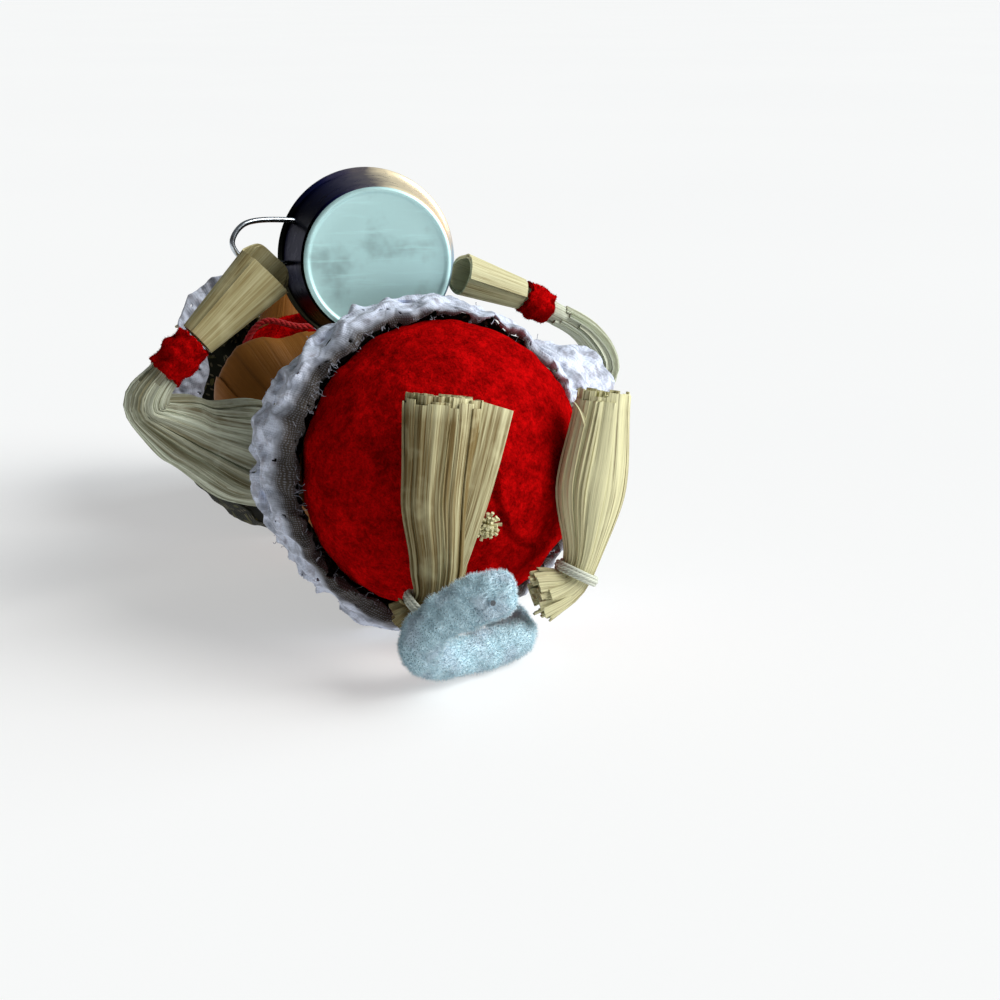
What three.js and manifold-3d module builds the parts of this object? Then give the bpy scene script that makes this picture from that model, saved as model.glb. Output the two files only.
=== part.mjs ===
// A corn husk mouse ornament lying on its back, in millimetres: a stuffed red felt body in a calico skirt
// with a lace hem, husk arms and feet, a chenille tail, a tin cup, and a head in a calico bonnet.
import * as THREE from 'three';
import { mergeVertices } from 'three/addons/utils/BufferGeometryUtils.js';
import Module from 'manifold-3d';

const wasm = await Module();
wasm.setup();

const { clamp, degToRad, lerp, smoothstep } = THREE.MathUtils;
const vec = (x, y, z) => new THREE.Vector3(x, y, z);
const UP = vec(0, 0, 1);

// Driving dimensions. The pieces are shaped in the standing doll's frame: +X is its left, -Y its front,
// +Z its head end, and the middle of the skirt's hem is the origin. The whole doll is then laid down.
const LEAN = degToRad(8); // the head end of the lying doll dips by this much
const HEM_ABOVE_TABLE = 29;
const REST_HEIGHT = 10; // how far up the skirt's back the part's own origin lies
const GAP = 0.35; // between pieces that touch

const BODY = { x: 1.6, y: 0.6, rim: -2, radius: 24.7, depth: 20, top: 33.5, topRadius: 10 };
const SKIRT = {
  hem: 28.2, waist: 14.5, height: 38, cloth: 0.9, taper: 1.7, slack: 6.5, drop: 5.8, folds: 16, ripple: 0.4,
};
const HEM_LACE = {
  low: -3.4, fold: -0.8, high: 6.4, lip: 25.4, thick: 0.9, flare: 0.6, waves: 13, ripple: 0.3,
  wing: 6.5, wingAngle: -0.33,
};
const CUP = {
  foot: vec(-2.5, -33.8, 12), rim: vec(3.4, -34.4, 36),
  footRadius: 13, rimRadius: 15.7, wall: 0.9, bead: 0.7,
};
const BODICE = { low: 39, high: 65.5, core: 12, ribs: 16, ripple: 0.4 };
const SCARF = { low: 61.2, high: 66.6, inner: 10, front: 22, back: 13, thick: 1.2, waves: 6, ripple: 0.9 };
const HEAD = { middle: vec(0, -3.6, 82), radius: 15.9, snout: 29, nod: degToRad(12) };
const BONNET = {
  y: -0.4, top: 105.5, front: 90, back: 60, cloth: 0.9, folds: 15, ripple: 0.35, liningDrop: [0.1, 0.07],
};
const BRIM = {
  inner: 25.6, outer: 33.6, front: 92, back: 78, thick: 0.8, from: -3.4, to: 0.26, waves: 15, ripple: 1.3,
};
const TAIL_RADIUS = 3.6;
const WIRE_RADIUS = 0.75;
const CORD_RADIUS = 0.65;
const TIE_RADIUS = 0.8;

// The table that the doll lies on, as a plane in the doll's own frame.
const tableY = (z) => (HEM_ABOVE_TABLE - z * Math.sin(LEAN)) / Math.cos(LEAN);

const COLOURS = {
  felt: [0xb01018, 0.95, 0],
  calico: [0x2c2e22, 0.9, 0],
  lace: [0xd9d6e2, 0.9, 0],
  husk: [0xcdbf8e, 0.7, 0],
  paleHusk: [0xd2d3bb, 0.7, 0],
  tanHusk: [0xc79a5c, 0.65, 0],
  chenille: [0xd3dee6, 1, 0],
  tin: [0xb8c4c4, 0.3, 1],
  string: [0xd6d8c4, 0.85, 0],
  bead: [0x101010, 0.2, 0],
};

// Moves every corner of a geometry by a rule.
function reshape(geometry, rule) {
  const position = geometry.attributes.position;
  const point = vec(0, 0, 0);
  for (let i = 0; i < position.count; i += 1) {
    point.fromBufferAttribute(position, i);
    rule(point);
    position.setXYZ(i, point.x, point.y, point.z);
  }
  return geometry;
}

// Keeps only corners and triangles, joins equal corners and turns the faces outwards.
function closed(geometry) {
  const bare = (geometry.index ? geometry.toNonIndexed() : geometry).clone();
  bare.deleteAttribute('normal');
  bare.deleteAttribute('uv');
  const merged = mergeVertices(bare, 1e-3);
  const { array } = merged.index;
  const corner = (i) => vec(0, 0, 0).fromBufferAttribute(merged.attributes.position, i);
  const faces = [];
  let volume = 0;
  for (let i = 0; i < array.length; i += 3) {
    const [a, b, c] = array.slice(i, i + 3);
    if (a !== b && b !== c && c !== a) {
      faces.push([a, b, c]);
      volume += corner(a).dot(corner(b).cross(corner(c)));
    }
  }
  const outward = volume < 0 ? faces.map(([a, b, c]) => [a, c, b]) : faces;
  merged.setIndex(outward.flat());
  return merged;
}

function toManifold(geometry) {
  const mesh = closed(geometry);
  return new wasm.Manifold(new wasm.Mesh({
    numProp: 3,
    vertProperties: new Float32Array(mesh.attributes.position.array),
    triVerts: new Uint32Array(mesh.index.array),
  }));
}

function fromManifold(solid) {
  const mesh = solid.getMesh();
  const geometry = new THREE.BufferGeometry();
  geometry.setAttribute('position', new THREE.BufferAttribute(new Float32Array(mesh.vertProperties), 3));
  geometry.setIndex(Array.from(mesh.triVerts));
  return geometry;
}

const cut = (geometry, cutter) => fromManifold(toManifold(geometry).subtract(toManifold(cutter)));
const join = (geometry, other) => fromManifold(toManifold(geometry).add(toManifold(other)));

// A shape turned about the Z axis from an outline of [radius, height] points.
function turned(outline, around) {
  const points = outline.map(([radius, height]) => new THREE.Vector2(radius, height));
  return new THREE.LatheGeometry(points, around).rotateX(Math.PI / 2);
}

const steps = (count, make) => Array.from({ length: count + 1 }, (_, i) => make(i / count));
const rod = (count) => [[0, 0], ...steps(count, (t) => [1, t]), [0, 1]];

// A rod that follows a curve. section(t, angle) gives its half widths: level, and upwards.
function swept(outline, around, curve, section) {
  return reshape(turned(outline, around), (point) => {
    const t = clamp(point.z, 0, 1);
    const angle = Math.atan2(point.y, point.x);
    const spread = Math.hypot(point.x, point.y);
    const along = curve.getTangentAt(t);
    const side = UP.clone().cross(along).normalize();
    const rise = along.clone().cross(side);
    const [wide, high] = section(t, angle);
    point.copy(curve.getPointAt(t));
    point.addScaledVector(side, spread * wide * Math.cos(angle));
    point.addScaledVector(rise, spread * high * Math.sin(angle));
  });
}

// A round tube along a smooth path through points.
function tube(points, radius, sides, count) {
  const ring = steps(sides - 1, (t) => t * (1 - 1 / sides) * 2 * Math.PI)
    .map((angle) => new THREE.Vector2(radius * Math.cos(angle), radius * Math.sin(angle)));
  const extrudePath = new THREE.CatmullRomCurve3(points);
  return new THREE.ExtrudeGeometry(new THREE.Shape(ring), { steps: count, extrudePath });
}

// The turn from one angle to another, the short way round.
const between = (angle, from) => Math.atan2(Math.sin(angle - from), Math.cos(angle - from));

// Turns a geometry's Z axis to a direction and moves it to a place.
function aimed(geometry, direction, place) {
  const turn = new THREE.Quaternion().setFromUnitVectors(UP, direction.clone().normalize());
  return geometry.applyQuaternion(turn).translate(place.x, place.y, place.z);
}

// A value read off a list of [position, value] pairs, eased from each pair to the next.
function eased(pairs, at) {
  const last = pairs.findIndex(([position]) => position >= at);
  if (last <= 0) {
    return last === 0 ? pairs[0][1] : pairs.at(-1)[1];
  }
  const [[a, from], [b, to]] = pairs.slice(last - 1, last + 1);
  return lerp(from, to, smoothstep(at, a, b));
}

const doll = new THREE.Group();

function add(name, geometry, [color, roughness, metalness]) {
  const material = new THREE.MeshStandardMaterial({ color, roughness, metalness });
  const mesh = new THREE.Mesh(closed(geometry), material);
  mesh.name = name;
  doll.add(mesh);
}

// The skirt, a cone of cloth whose slack back lies on the table.
const upSkirt = (z) => clamp(z / SKIRT.height, 0, 1);
const skirtRadius = (z) => lerp(SKIRT.waist, SKIRT.hem, (1 - upSkirt(z)) ** SKIRT.taper);
const behind = (angle) => Math.max(Math.sin(angle), 0) ** 2;
const skirtSlack = (z, angle) => SKIRT.slack * Math.sin(Math.PI * upSkirt(z)) * behind(angle);
const skirtMiddle = (z) => SKIRT.drop * upSkirt(z);
const hemLift = (z) => (HEM_LACE.thick + GAP) * (1 - smoothstep(z, HEM_LACE.high, HEM_LACE.high + 2.5));

// The hem isn't round: it is pressed flatter in front and drawn in behind its right side.
const HEM_SHAPE = { front: 0.06, dent: 0.07, dentAngle: 2.6, dentWidth: 0.45 };

function hemShape(angle) {
  const { front, dent, dentAngle, dentWidth } = HEM_SHAPE;
  const pressed = front * Math.max(-Math.sin(angle), 0);
  return 1 - pressed - dent * Math.exp(-((between(angle, dentAngle) / dentWidth) ** 2));
}

function skirt() {
  const heights = [0, 6.5, 9.5, 19, 28, SKIRT.height];
  const outer = heights.map((z) => [skirtRadius(z), z]);
  const inner = heights.map((z) => [skirtRadius(z) - SKIRT.cloth, z]).reverse();
  return reshape(turned([...outer, ...inner, outer[0]], SKIRT.folds * 3), (point) => {
    const angle = Math.atan2(point.y, point.x);
    const depth = skirtRadius(point.z) - Math.hypot(point.x, point.y);
    const drawnIn = skirtRadius(point.z) * (1 - hemShape(angle)) * (1 - upSkirt(point.z));
    const fold = SKIRT.ripple * Math.sin(SKIRT.folds * angle) + skirtSlack(point.z, angle) - drawnIn;
    point.x += fold * Math.cos(angle);
    point.y += fold * Math.sin(angle) + skirtMiddle(point.z);
    point.y = Math.min(point.y, tableY(point.z) - hemLift(point.z) - depth);
  });
}

// The stuffed body: a shallow felt dome below the hem, narrowing upwards inside the skirt.
function body(swell = 0) {
  const dome = steps(7, (t) => [
    (BODY.radius + swell) * Math.sin(t * Math.PI / 2),
    BODY.rim - (BODY.depth + swell) * Math.cos(t * Math.PI / 2),
  ]);
  const upper = [[22.2, 5], [17.4, 15], [13.5, 25], [BODY.topRadius, BODY.top - 1.5], [0, BODY.top]];
  return reshape(turned([...dome, ...upper], 28), (point) => {
    const stay = 1 - smoothstep(point.z, BODY.rim, BODY.top);
    point.x += BODY.x * stay;
    point.y += BODY.y * stay + skirtMiddle(point.z);
  });
}

// The lace frill round the hem: turned in under the cloth's edge, and a wide wing on the front left.
const HEM_EDGE = SKIRT.hem + SKIRT.ripple + GAP;
const frill = (z) => (z < HEM_LACE.fold
  ? lerp(HEM_LACE.lip, HEM_EDGE, (z - HEM_LACE.low) / (HEM_LACE.fold - HEM_LACE.low))
  : HEM_EDGE + HEM_LACE.flare * (z - HEM_LACE.fold) / (HEM_LACE.high - HEM_LACE.fold));

function hemLace() {
  const heights = [HEM_LACE.low, HEM_LACE.fold, 2.5, HEM_LACE.high];
  const inner = heights.map((z) => [frill(z), z]);
  const outer = heights.map((z) => [frill(z) + HEM_LACE.thick, z]).reverse();
  return reshape(turned([...inner, ...outer, inner[0]], HEM_LACE.waves * 4), (point) => {
    const angle = Math.atan2(point.y, point.x);
    const depth = frill(point.z) + HEM_LACE.thick - Math.hypot(point.x, point.y);
    const loose = smoothstep(point.z, HEM_LACE.low, HEM_LACE.high);
    const wave = HEM_LACE.ripple * (0.2 + 0.8 * loose) * (1 + Math.sin(HEM_LACE.waves * angle + 0.8));
    const wing = HEM_LACE.wing * loose * Math.exp(-(((angle - HEM_LACE.wingAngle) / 0.3) ** 2));
    const turnedIn = clamp((HEM_LACE.fold - point.z) / (HEM_LACE.fold - HEM_LACE.low), 0, 1);
    const drawnIn = HEM_EDGE * (1 - hemShape(angle)) * (1 - turnedIn);
    point.x += (wave + wing - drawnIn) * Math.cos(angle) + BODY.x * turnedIn;
    point.y += (wave + wing - drawnIn) * Math.sin(angle) + BODY.y * turnedIn;
    point.y = Math.min(point.y, tableY(point.z) - depth);
  });
}

// A foot: a bundle of husk strips, tied near the heel, with a splayed tuft behind the tie.
const FEET = {
  right: {
    spine: [vec(-14, 21.4, -22.2), vec(-9.9, 16.5, -24.2), vec(-6.8, 2, -25.2), vec(-5.6, -13.6, -25.2)],
    wide: [[0, 4.2], [0.1, 2.7], [0.45, 6.2], [0.62, 6.9], [1, 6.8]],
    high: [[0, 2.8], [0.1, 2.6], [0.5, 4.1], [1, 4.2]],
    tie: 0.1,
  },
  left: {
    spine: [vec(9.8, 21.4, -19.2), vec(16.7, 19, -20), vec(20.9, 3, -20.4), vec(23.5, -9.8, -20.4)],
    wide: [[0, 4.4], [0.22, 2.7], [0.6, 6.5], [1, 4.8]],
    high: [[0, 3], [0.22, 2.7], [0.6, 4.4], [1, 4]],
    tie: 0.22,
  },
};
const STRIP = { length: 15, width: 3.6, thick: 0.9, turn: 0.26, place: vec(2.6, -4.9, -25.6) };
const HUSK_RIBS = 9;

function foot({ spine, wide, high }) {
  const curve = new THREE.CatmullRomCurve3(spine);
  const bundle = swept(rod(8), HUSK_RIBS * 2, curve, (t, angle) => {
    const rib = 1 + 0.05 * Math.cos(HUSK_RIBS * angle);
    return [eased(wide, t) * rib, eased(high, t) * rib];
  });
  return cut(bundle, body(GAP));
}

// The one strip of the right foot that stands away from its bundle.
function looseStrip() {
  const { length, width, thick, turn, place } = STRIP;
  const strip = new THREE.BoxGeometry(width, length, thick);
  return strip.rotateZ(turn).translate(place.x, place.y, place.z);
}

function footTie({ spine, wide, tie }) {
  const curve = new THREE.CatmullRomCurve3(spine);
  const radius = eased(wide, tie) * 1.12 + GAP + TIE_RADIUS;
  const ring = new THREE.TorusGeometry(radius, TIE_RADIUS, 6, 12);
  return aimed(ring, curve.getTangentAt(tie), curve.getPointAt(tie));
}

// The cut end of the straw bundle that shows in the middle of the body, a small star.
const STAR = { x: 1.6, y: 8.2, tips: 8, outer: 2.4, inner: 1.7, deep: 4, proud: 0.7 };

function strawTuft() {
  const star = steps(STAR.tips * 2 - 1, (t) => Math.round(t * (STAR.tips * 2 - 1))).map((i) => {
    const radius = i % 2 ? STAR.inner : STAR.outer;
    const angle = i * Math.PI / STAR.tips;
    return new THREE.Vector2(radius * Math.cos(angle), radius * Math.sin(angle));
  });
  const stem = new THREE.ExtrudeGeometry(new THREE.Shape(star), { depth: STAR.deep, bevelEnabled: false });
  const across = (STAR.y - BODY.y) / BODY.radius;
  const surface = BODY.rim - BODY.depth * Math.sqrt(1 - across ** 2);
  const out = vec(0, across / BODY.radius, -Math.sqrt(1 - across ** 2) / BODY.depth).normalize();
  stem.translate(0, 0, STAR.proud + GAP - STAR.deep);
  return cut(aimed(stem, out, vec(STAR.x, STAR.y, surface)), body(GAP));
}

// The chenille tail, folded over on itself on the table.
const TAIL = [
  vec(5.8, 23.4, -8.5), vec(9.6, 27, -12.8), vec(7.4, 28, -18.5), vec(-1, 28.5, -20.8),
  vec(-9, 27.8, -24), vec(-12.6, 25, -28.6), vec(-11.4, 21.8, -32), vec(-8, 19, -33.6), vec(-4.2, 16.9, -35),
];

// An arm: a wide husk sleeve from the bodice past the elbow to the wrist, a felt cuff, and a hollow hand.
const ARMS = {
  right: {
    sleeve: [vec(-12, 2.4, 48), vec(-19.5, 0.6, 42.5), vec(-33.6, -5.6, 32.5), vec(-41.8, -12, 25.2),
      vec(-38.4, -17.2, 23.4), vec(-32.9, -22, 22.8)],
    wide: [[0, 9.6], [0.22, 9.2], [0.52, 6], [0.73, 3.6], [0.86, 2.4], [1, 2.4]],
    high: [[0, 6.4], [0.22, 6.2], [0.52, 4.6], [0.73, 3.2], [0.86, 2.4], [1, 2.4]],
    cuff: { from: vec(-38.6, -17, 23.4), to: vec(-33, -22, 22.8), radius: 3.9 },
    hand: { from: vec(-32.5, -22.4, 22.8), to: vec(-19.7, -33.5, 22), wide: [3.5, 5.8], high: [2.8, 4] },
  },
  left: {
    sleeve: [vec(12, 2.4, 48), vec(20.5, 0.4, 42.4), vec(35, -5, 31.6), vec(45, -10.8, 23.6),
      vec(41.5, -17.5, 21.8), vec(28, -25.8, 20.8)],
    wide: [[0, 9.2], [0.22, 8.6], [0.52, 5.6], [0.7, 3.2], [0.86, 2.3], [1, 2.3]],
    high: [[0, 6.4], [0.22, 6], [0.52, 4.4], [0.7, 3], [0.86, 2.3], [1, 2.3]],
    cuff: { from: vec(32.9, -23.1, 21.1), to: vec(28.2, -25.7, 20.8), radius: 3.5 },
    hand: { from: vec(27.6, -26, 20.8), to: vec(15.9, -30.4, 20), wide: [2.9, 4], high: [2.6, 3.1] },
  },
};
const PLEATS = 8;

function sleeve({ sleeve: points, wide, high }) {
  const curve = new THREE.CatmullRomCurve3(points);
  const cloth = swept(rod(10), PLEATS * 2, curve, (t, angle) => {
    const pleat = 1 + 0.06 * (1 - smoothstep(t, 0.6, 0.85)) * Math.cos(PLEATS * angle);
    return [eased(wide, t) * pleat, eased(high, t) * pleat];
  });
  return cut(cloth, bodice(GAP));
}

function cuff({ cuff: { from, to, radius }, wide }) {
  const length = from.distanceTo(to);
  const inner = wide.at(-1)[1] + GAP;
  const ring = [[inner, 0], [radius - 0.3, 0], [radius, 0.6], [radius, length - 0.6],
    [radius - 0.3, length], [inner, length], [inner, 0]];
  return aimed(turned(ring, 14), to.clone().sub(from), from);
}

// A flattened husk roll, open at its flared end.
function hand({ hand: { from, to, wide, high } }) {
  const floor = 0.35;
  const lip = 0.82;
  const roll = [[0, 0], ...steps(3, (t) => [1, t]), [lip, 1], [lip, floor], [0, floor]];
  const curve = new THREE.LineCurve3(from, to);
  return swept(roll, 16, curve, (t) => [lerp(...wide, t), lerp(...high, t)]);
}

// The tin cup, tapered and open at the mouth, and its bent wire handle.
const cupAxis = CUP.rim.clone().sub(CUP.foot);
const cupHeight = cupAxis.length();
const cupRadius = (height) => lerp(CUP.footRadius, CUP.rimRadius, height / cupHeight);

function cup() {
  const { wall, bead, footRadius, rimRadius } = CUP;
  const outline = [
    [0, 0.5], [footRadius - 2.2, 0.5], [footRadius - 1.6, 0], [footRadius - 0.5, 0.3], [footRadius, 1],
    [cupRadius(cupHeight / 2), cupHeight / 2], [cupRadius(cupHeight - 2 * bead), cupHeight - 2 * bead],
    [rimRadius + bead, cupHeight - bead], [rimRadius, cupHeight], [rimRadius - wall, cupHeight - bead],
    [cupRadius(cupHeight / 2) - wall, cupHeight / 2], [footRadius - wall, 1.4], [0, 1.4],
  ];
  return aimed(turned(outline, 28), cupAxis, CUP.foot);
}

function cupEnvelope() {
  const { footRadius, rimRadius } = CUP;
  const outline = [[0, 0], [footRadius + GAP, 0], [rimRadius + GAP, cupHeight], [0, cupHeight]];
  return aimed(turned(outline, 40), cupAxis, CUP.foot);
}

const HANDLE = [
  vec(-7.5, -40.8, 33), vec(-13, -41.9, 32.6), vec(-20.6, -41.4, 31.6), vec(-23, -38.2, 31),
  vec(-20.8, -35, 31), vec(-15, -34.2, 31.8), vec(-8.5, -34.2, 32.6),
];

const cupHandle = () => cut(tube(HANDLE, WIRE_RADIUS, 6, 18), cupEnvelope());

// The husk bodice, a plump barrel between the skirt's waist and the neck, puffed out on its right front.
const bodiceRadius = [[39, 12.6], [46, 17.2], [52.5, 18.8], [59, 16], [64.5, 10], [65.5, 9]];
const bodiceMiddle = { x: [[39, -1], [52, -2.6], [65, -0.5]], y: [[39, 4.6], [52, -2.6], [65, -2]] };
const PUFF = { angle: -2.3, width: 0.5, reach: [[41, 0], [48, 5.6], [52.5, 5.6], [57, 0]] };

function bodice(swell = 0) {
  const heights = steps(7, (t) => lerp(BODICE.low, BODICE.high, t));
  const wall = heights.map((z) => [eased(bodiceRadius, z) + swell, z]);
  const floor = BODICE.low - swell;
  const outline = [[0, floor], [BODICE.core, floor], ...wall, [0, BODICE.high + swell]];
  return reshape(turned(outline, BODICE.ribs * 2), (point) => {
    const angle = Math.atan2(point.y, point.x);
    const radius = Math.hypot(point.x, point.y);
    const rib = BODICE.ripple / SKIRT.waist * Math.cos(BODICE.ribs * angle) * radius;
    const outside = smoothstep(radius, BODICE.core, BODICE.core + 1);
    const turn = between(angle, PUFF.angle) / PUFF.width;
    const puff = outside * eased(PUFF.reach, point.z) * Math.exp(-(turn ** 4));
    point.x += (rib + puff) * Math.cos(angle) + eased(bodiceMiddle.x, point.z);
    point.y += (rib + puff) * Math.sin(angle) + eased(bodiceMiddle.y, point.z);
  });
}

// The red scarf round the neck, spread wide over the chest.
function scarf() {
  const { low, high, inner, front, back, thick, waves, ripple } = SCARF;
  const under = steps(3, (t) => [t, 0]);
  const over = steps(3, (t) => [1 - t, thick]);
  const outline = [...under, ...over, under[0]].map(([t, rise]) => [1 + t, rise]);
  return reshape(turned(outline, waves * 5), (point) => {
    const angle = Math.atan2(point.y, point.x);
    const t = Math.hypot(point.x, point.y) - 1;
    const reach = lerp(front, back, smoothstep(Math.sin(angle), -0.4, 0.6));
    const radius = lerp(inner, reach, t);
    const fall = (high - low) * (radius - inner) / (front - inner);
    const wave = ripple * t * Math.sin(waves * angle);
    point.set(radius * Math.cos(angle), radius * Math.sin(angle) - 2, high + point.z - fall + wave);
  });
}

// The thin red cord that hangs across the chest under the scarf.
const NECK_CORD = [
  vec(-16.6, -9.2, 60.6), vec(-15.6, -17, 59), vec(-11.4, -22.6, 57.6), vec(-4.2, -21.2, 57),
  vec(2.6, -21, 57.6), vec(10, -18.2, 58.6), vec(15.4, -10, 60.2),
];

// The husk head, a ball drawn out to a pointed snout, with beads for the eyes and nose.
const snoutTip = vec(0, -HEAD.snout * Math.cos(HEAD.nod), -HEAD.snout * Math.sin(HEAD.nod));
const faceward = snoutTip.clone().normalize();
const EYE = { radius: 1.7, side: 6.6, ahead: 11.6, above: 7 };
const NOSE_RADIUS = 2.2;
const BEADS = {
  right_eye: { place: vec(-EYE.side, -EYE.ahead, EYE.above).add(HEAD.middle), radius: EYE.radius },
  left_eye: { place: vec(EYE.side, -EYE.ahead, EYE.above).add(HEAD.middle), radius: EYE.radius },
  nose: { place: snoutTip.clone().add(HEAD.middle), radius: NOSE_RADIUS },
};

const ball = ({ place, radius }, swell = 0) =>
  new THREE.SphereGeometry(radius + swell, 10, 7).translate(place.x, place.y, place.z);

function head() {
  const skull = steps(5, (t) => [
    HEAD.radius * Math.sin(t * Math.PI / 2),
    -HEAD.radius * Math.cos(t * Math.PI / 2),
  ]);
  const snout = [[14.4, 6], [10.6, 12], [6.8, 18], [4, 24], [1.8, HEAD.snout - 1], [0, HEAD.snout]];
  const face = aimed(turned([...skull, ...snout], 22), faceward, HEAD.middle);
  return Object.values(BEADS).reduce((shape, bead) => cut(shape, ball(bead, GAP)), face);
}

// The calico bonnet: a full crown, its edge high over the face and low over the nape, its back on the table.
const CROWN = [[0, 0], [9, 0.03], [17.4, 0.13], [22.6, 0.34], [24.4, 0.6], [23.6, 0.82], [22.4, 1]];

function bonnet() {
  const { cloth, folds, ripple, top, front, back, y } = BONNET;
  const outer = CROWN.map(([radius, drop]) => [radius, -drop]);
  const lining = CROWN.map(([radius, drop]) => [Math.max(radius - cloth, 0), -drop]).reverse();
  lining.slice(-2).forEach((corner, i) => { corner[1] = -BONNET.liningDrop[i]; });
  return reshape(turned([...outer, ...lining], folds * 2), (point) => {
    const angle = Math.atan2(point.y, point.x);
    const radius = Math.hypot(point.x, point.y);
    const outside = CROWN.some(([r]) => Math.abs(r - radius) < 0.01);
    const edge = lerp(front, back, (1 + Math.sin(angle)) / 2);
    const fold = radius > 1 ? ripple * Math.sin(folds * angle) : 0;
    point.z = top + point.z * (top - edge);
    point.x += fold * Math.cos(angle);
    point.y += fold * Math.sin(angle) + y;
    point.y = Math.min(point.y, tableY(point.z) - (outside ? 0 : cloth));
  });
}

// The wide lace brim round the front and sides of the bonnet.
function brim() {
  const { inner, outer, front, back, thick, from, to, waves, ripple } = BRIM;
  const band = new THREE.BoxGeometry(1, 1, 1, waves * 3, 1, 1);
  return reshape(band, (point) => {
    const angle = lerp(from, to, point.x + 0.5);
    const across = point.y + 0.5;
    const radius = lerp(inner, outer, across);
    const wave = ripple * across * Math.sin(waves * angle * 1.6);
    const height = lerp(front, back, (1 + Math.sin(angle)) / 2);
    const rise = height + wave + thick * point.z;
    point.set(radius * Math.cos(angle), radius * Math.sin(angle) + BONNET.y, rise);
  });
}

// A cupped husk ear standing on the front of the crown.
const EAR = { radius: 7.4, thick: 0.9, cup: 1.8, side: 11.6, ahead: -21.2, height: 100 };

function ear(sign) {
  const bowl = (t) => EAR.cup * t ** 2;
  const back = steps(2, (t) => [EAR.radius * t, bowl(t)]);
  const front = steps(2, (t) => [EAR.radius * (1 - t), bowl(1 - t) + EAR.thick]);
  const facing = vec(sign * 0.3, -1, 0.15);
  return aimed(turned([...back, ...front], 16), facing, vec(sign * EAR.side, EAR.ahead, EAR.height));
}

add('red_body', body(), COLOURS.felt);
add('skirt', skirt(), COLOURS.calico);
add('hem_lace', hemLace(), COLOURS.lace);
add('right_foot', join(foot(FEET.right), looseStrip()), COLOURS.husk);
add('left_foot', foot(FEET.left), COLOURS.husk);
add('straw_tuft', strawTuft(), COLOURS.husk);
add('tail', cut(tube(TAIL, TAIL_RADIUS, 10, 26), body(GAP)), COLOURS.chenille);
add('bodice', bodice(), COLOURS.tanHusk);
for (const side of ['right', 'left']) {
  add(`${side}_foot_tie`, footTie(FEET[side]), COLOURS.string);
  add(`${side}_sleeve`, sleeve(ARMS[side]), COLOURS.paleHusk);
  add(`${side}_cuff`, cuff(ARMS[side]), COLOURS.felt);
  add(`${side}_hand`, hand(ARMS[side]), COLOURS.husk);
  add(`${side}_ear`, ear(side === 'right' ? -1 : 1), COLOURS.husk);
}
add('tin_cup', cup(), COLOURS.tin);
add('cup_handle', cupHandle(), COLOURS.tin);
add('neck_scarf', scarf(), COLOURS.felt);
add('neck_cord', tube(NECK_CORD, CORD_RADIUS, 8, 20), COLOURS.felt);
add('head', head(), COLOURS.tanHusk);
for (const [name, bead] of Object.entries(BEADS)) {
  add(name, ball(bead), COLOURS.bead);
}
add('bonnet', bonnet(), COLOURS.calico);
add('bonnet_lace', brim(), COLOURS.lace);

// Laid on its back, the doll looks up along +Z with its head towards +Y. The origin is on the table, under
// the flat of the skirt's back.
doll.rotation.x = -(Math.PI / 2 + LEAN);
const restPoint = vec(0, tableY(REST_HEIGHT), REST_HEIGHT);
doll.position.copy(restPoint.applyEuler(doll.rotation).negate());

const ornament = new THREE.Group();
ornament.add(doll);

export default ornament;
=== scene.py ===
"""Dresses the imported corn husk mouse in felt, husk, calico, lace, chenille and tin."""

import math

import bmesh
import bpy
import numpy as np
from bpy.props import FloatProperty, FloatVectorProperty, PointerProperty
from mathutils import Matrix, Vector


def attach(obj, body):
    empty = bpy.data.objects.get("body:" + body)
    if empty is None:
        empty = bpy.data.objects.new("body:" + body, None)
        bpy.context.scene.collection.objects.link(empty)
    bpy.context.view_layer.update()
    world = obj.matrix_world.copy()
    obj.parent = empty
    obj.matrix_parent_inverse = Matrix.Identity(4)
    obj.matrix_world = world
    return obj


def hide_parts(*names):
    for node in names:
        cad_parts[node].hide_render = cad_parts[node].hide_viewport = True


bl_info = {
    "name": "Corn Husk Mouse Ornament",
    "version": (1, 0, 0),
    "blender": (4, 5, 0),
    "location": "View3D > Sidebar > Mouse",
    "description": "Makes the finished pieces of a corn husk mouse over its packed solids",
    "category": "Object",
}

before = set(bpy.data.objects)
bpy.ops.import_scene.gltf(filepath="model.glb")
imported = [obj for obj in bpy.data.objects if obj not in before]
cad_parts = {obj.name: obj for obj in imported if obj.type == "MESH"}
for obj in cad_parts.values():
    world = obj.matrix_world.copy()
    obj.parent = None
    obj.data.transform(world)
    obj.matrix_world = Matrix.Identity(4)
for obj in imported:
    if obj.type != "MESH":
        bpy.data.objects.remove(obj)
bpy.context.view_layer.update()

# The pieces are shaped in millimetres in the standing doll's frame, as their solids are: +X is the doll's
# left, -Y its front and +Z its head end, and the middle of the skirt's hem is the origin.
LEAN = math.radians(8)
HEM_ABOVE_TABLE = 29.0
REST_HEIGHT = 10.0
UP = np.array((0.0, 0.0, 1.0))
TAU = 2 * math.pi
MM = 0.001
# Random phases and turns come from this range.
PHASES = (0, 6.28)
# Corners closer than this, in metres, are welded.
WELD = 2e-6

BODY = {"x": 1.6, "y": 0.6, "rim": -2.0, "radius": 24.7, "depth": 20.0, "top": 33.5}
# The stuffing that goes up inside the skirt, as (height, radius).
BODY_WAIST = [(BODY["rim"], BODY["radius"]), (5, 22.2), (15, 17.4), (25, 13.5), (32, 10.0)]
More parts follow.
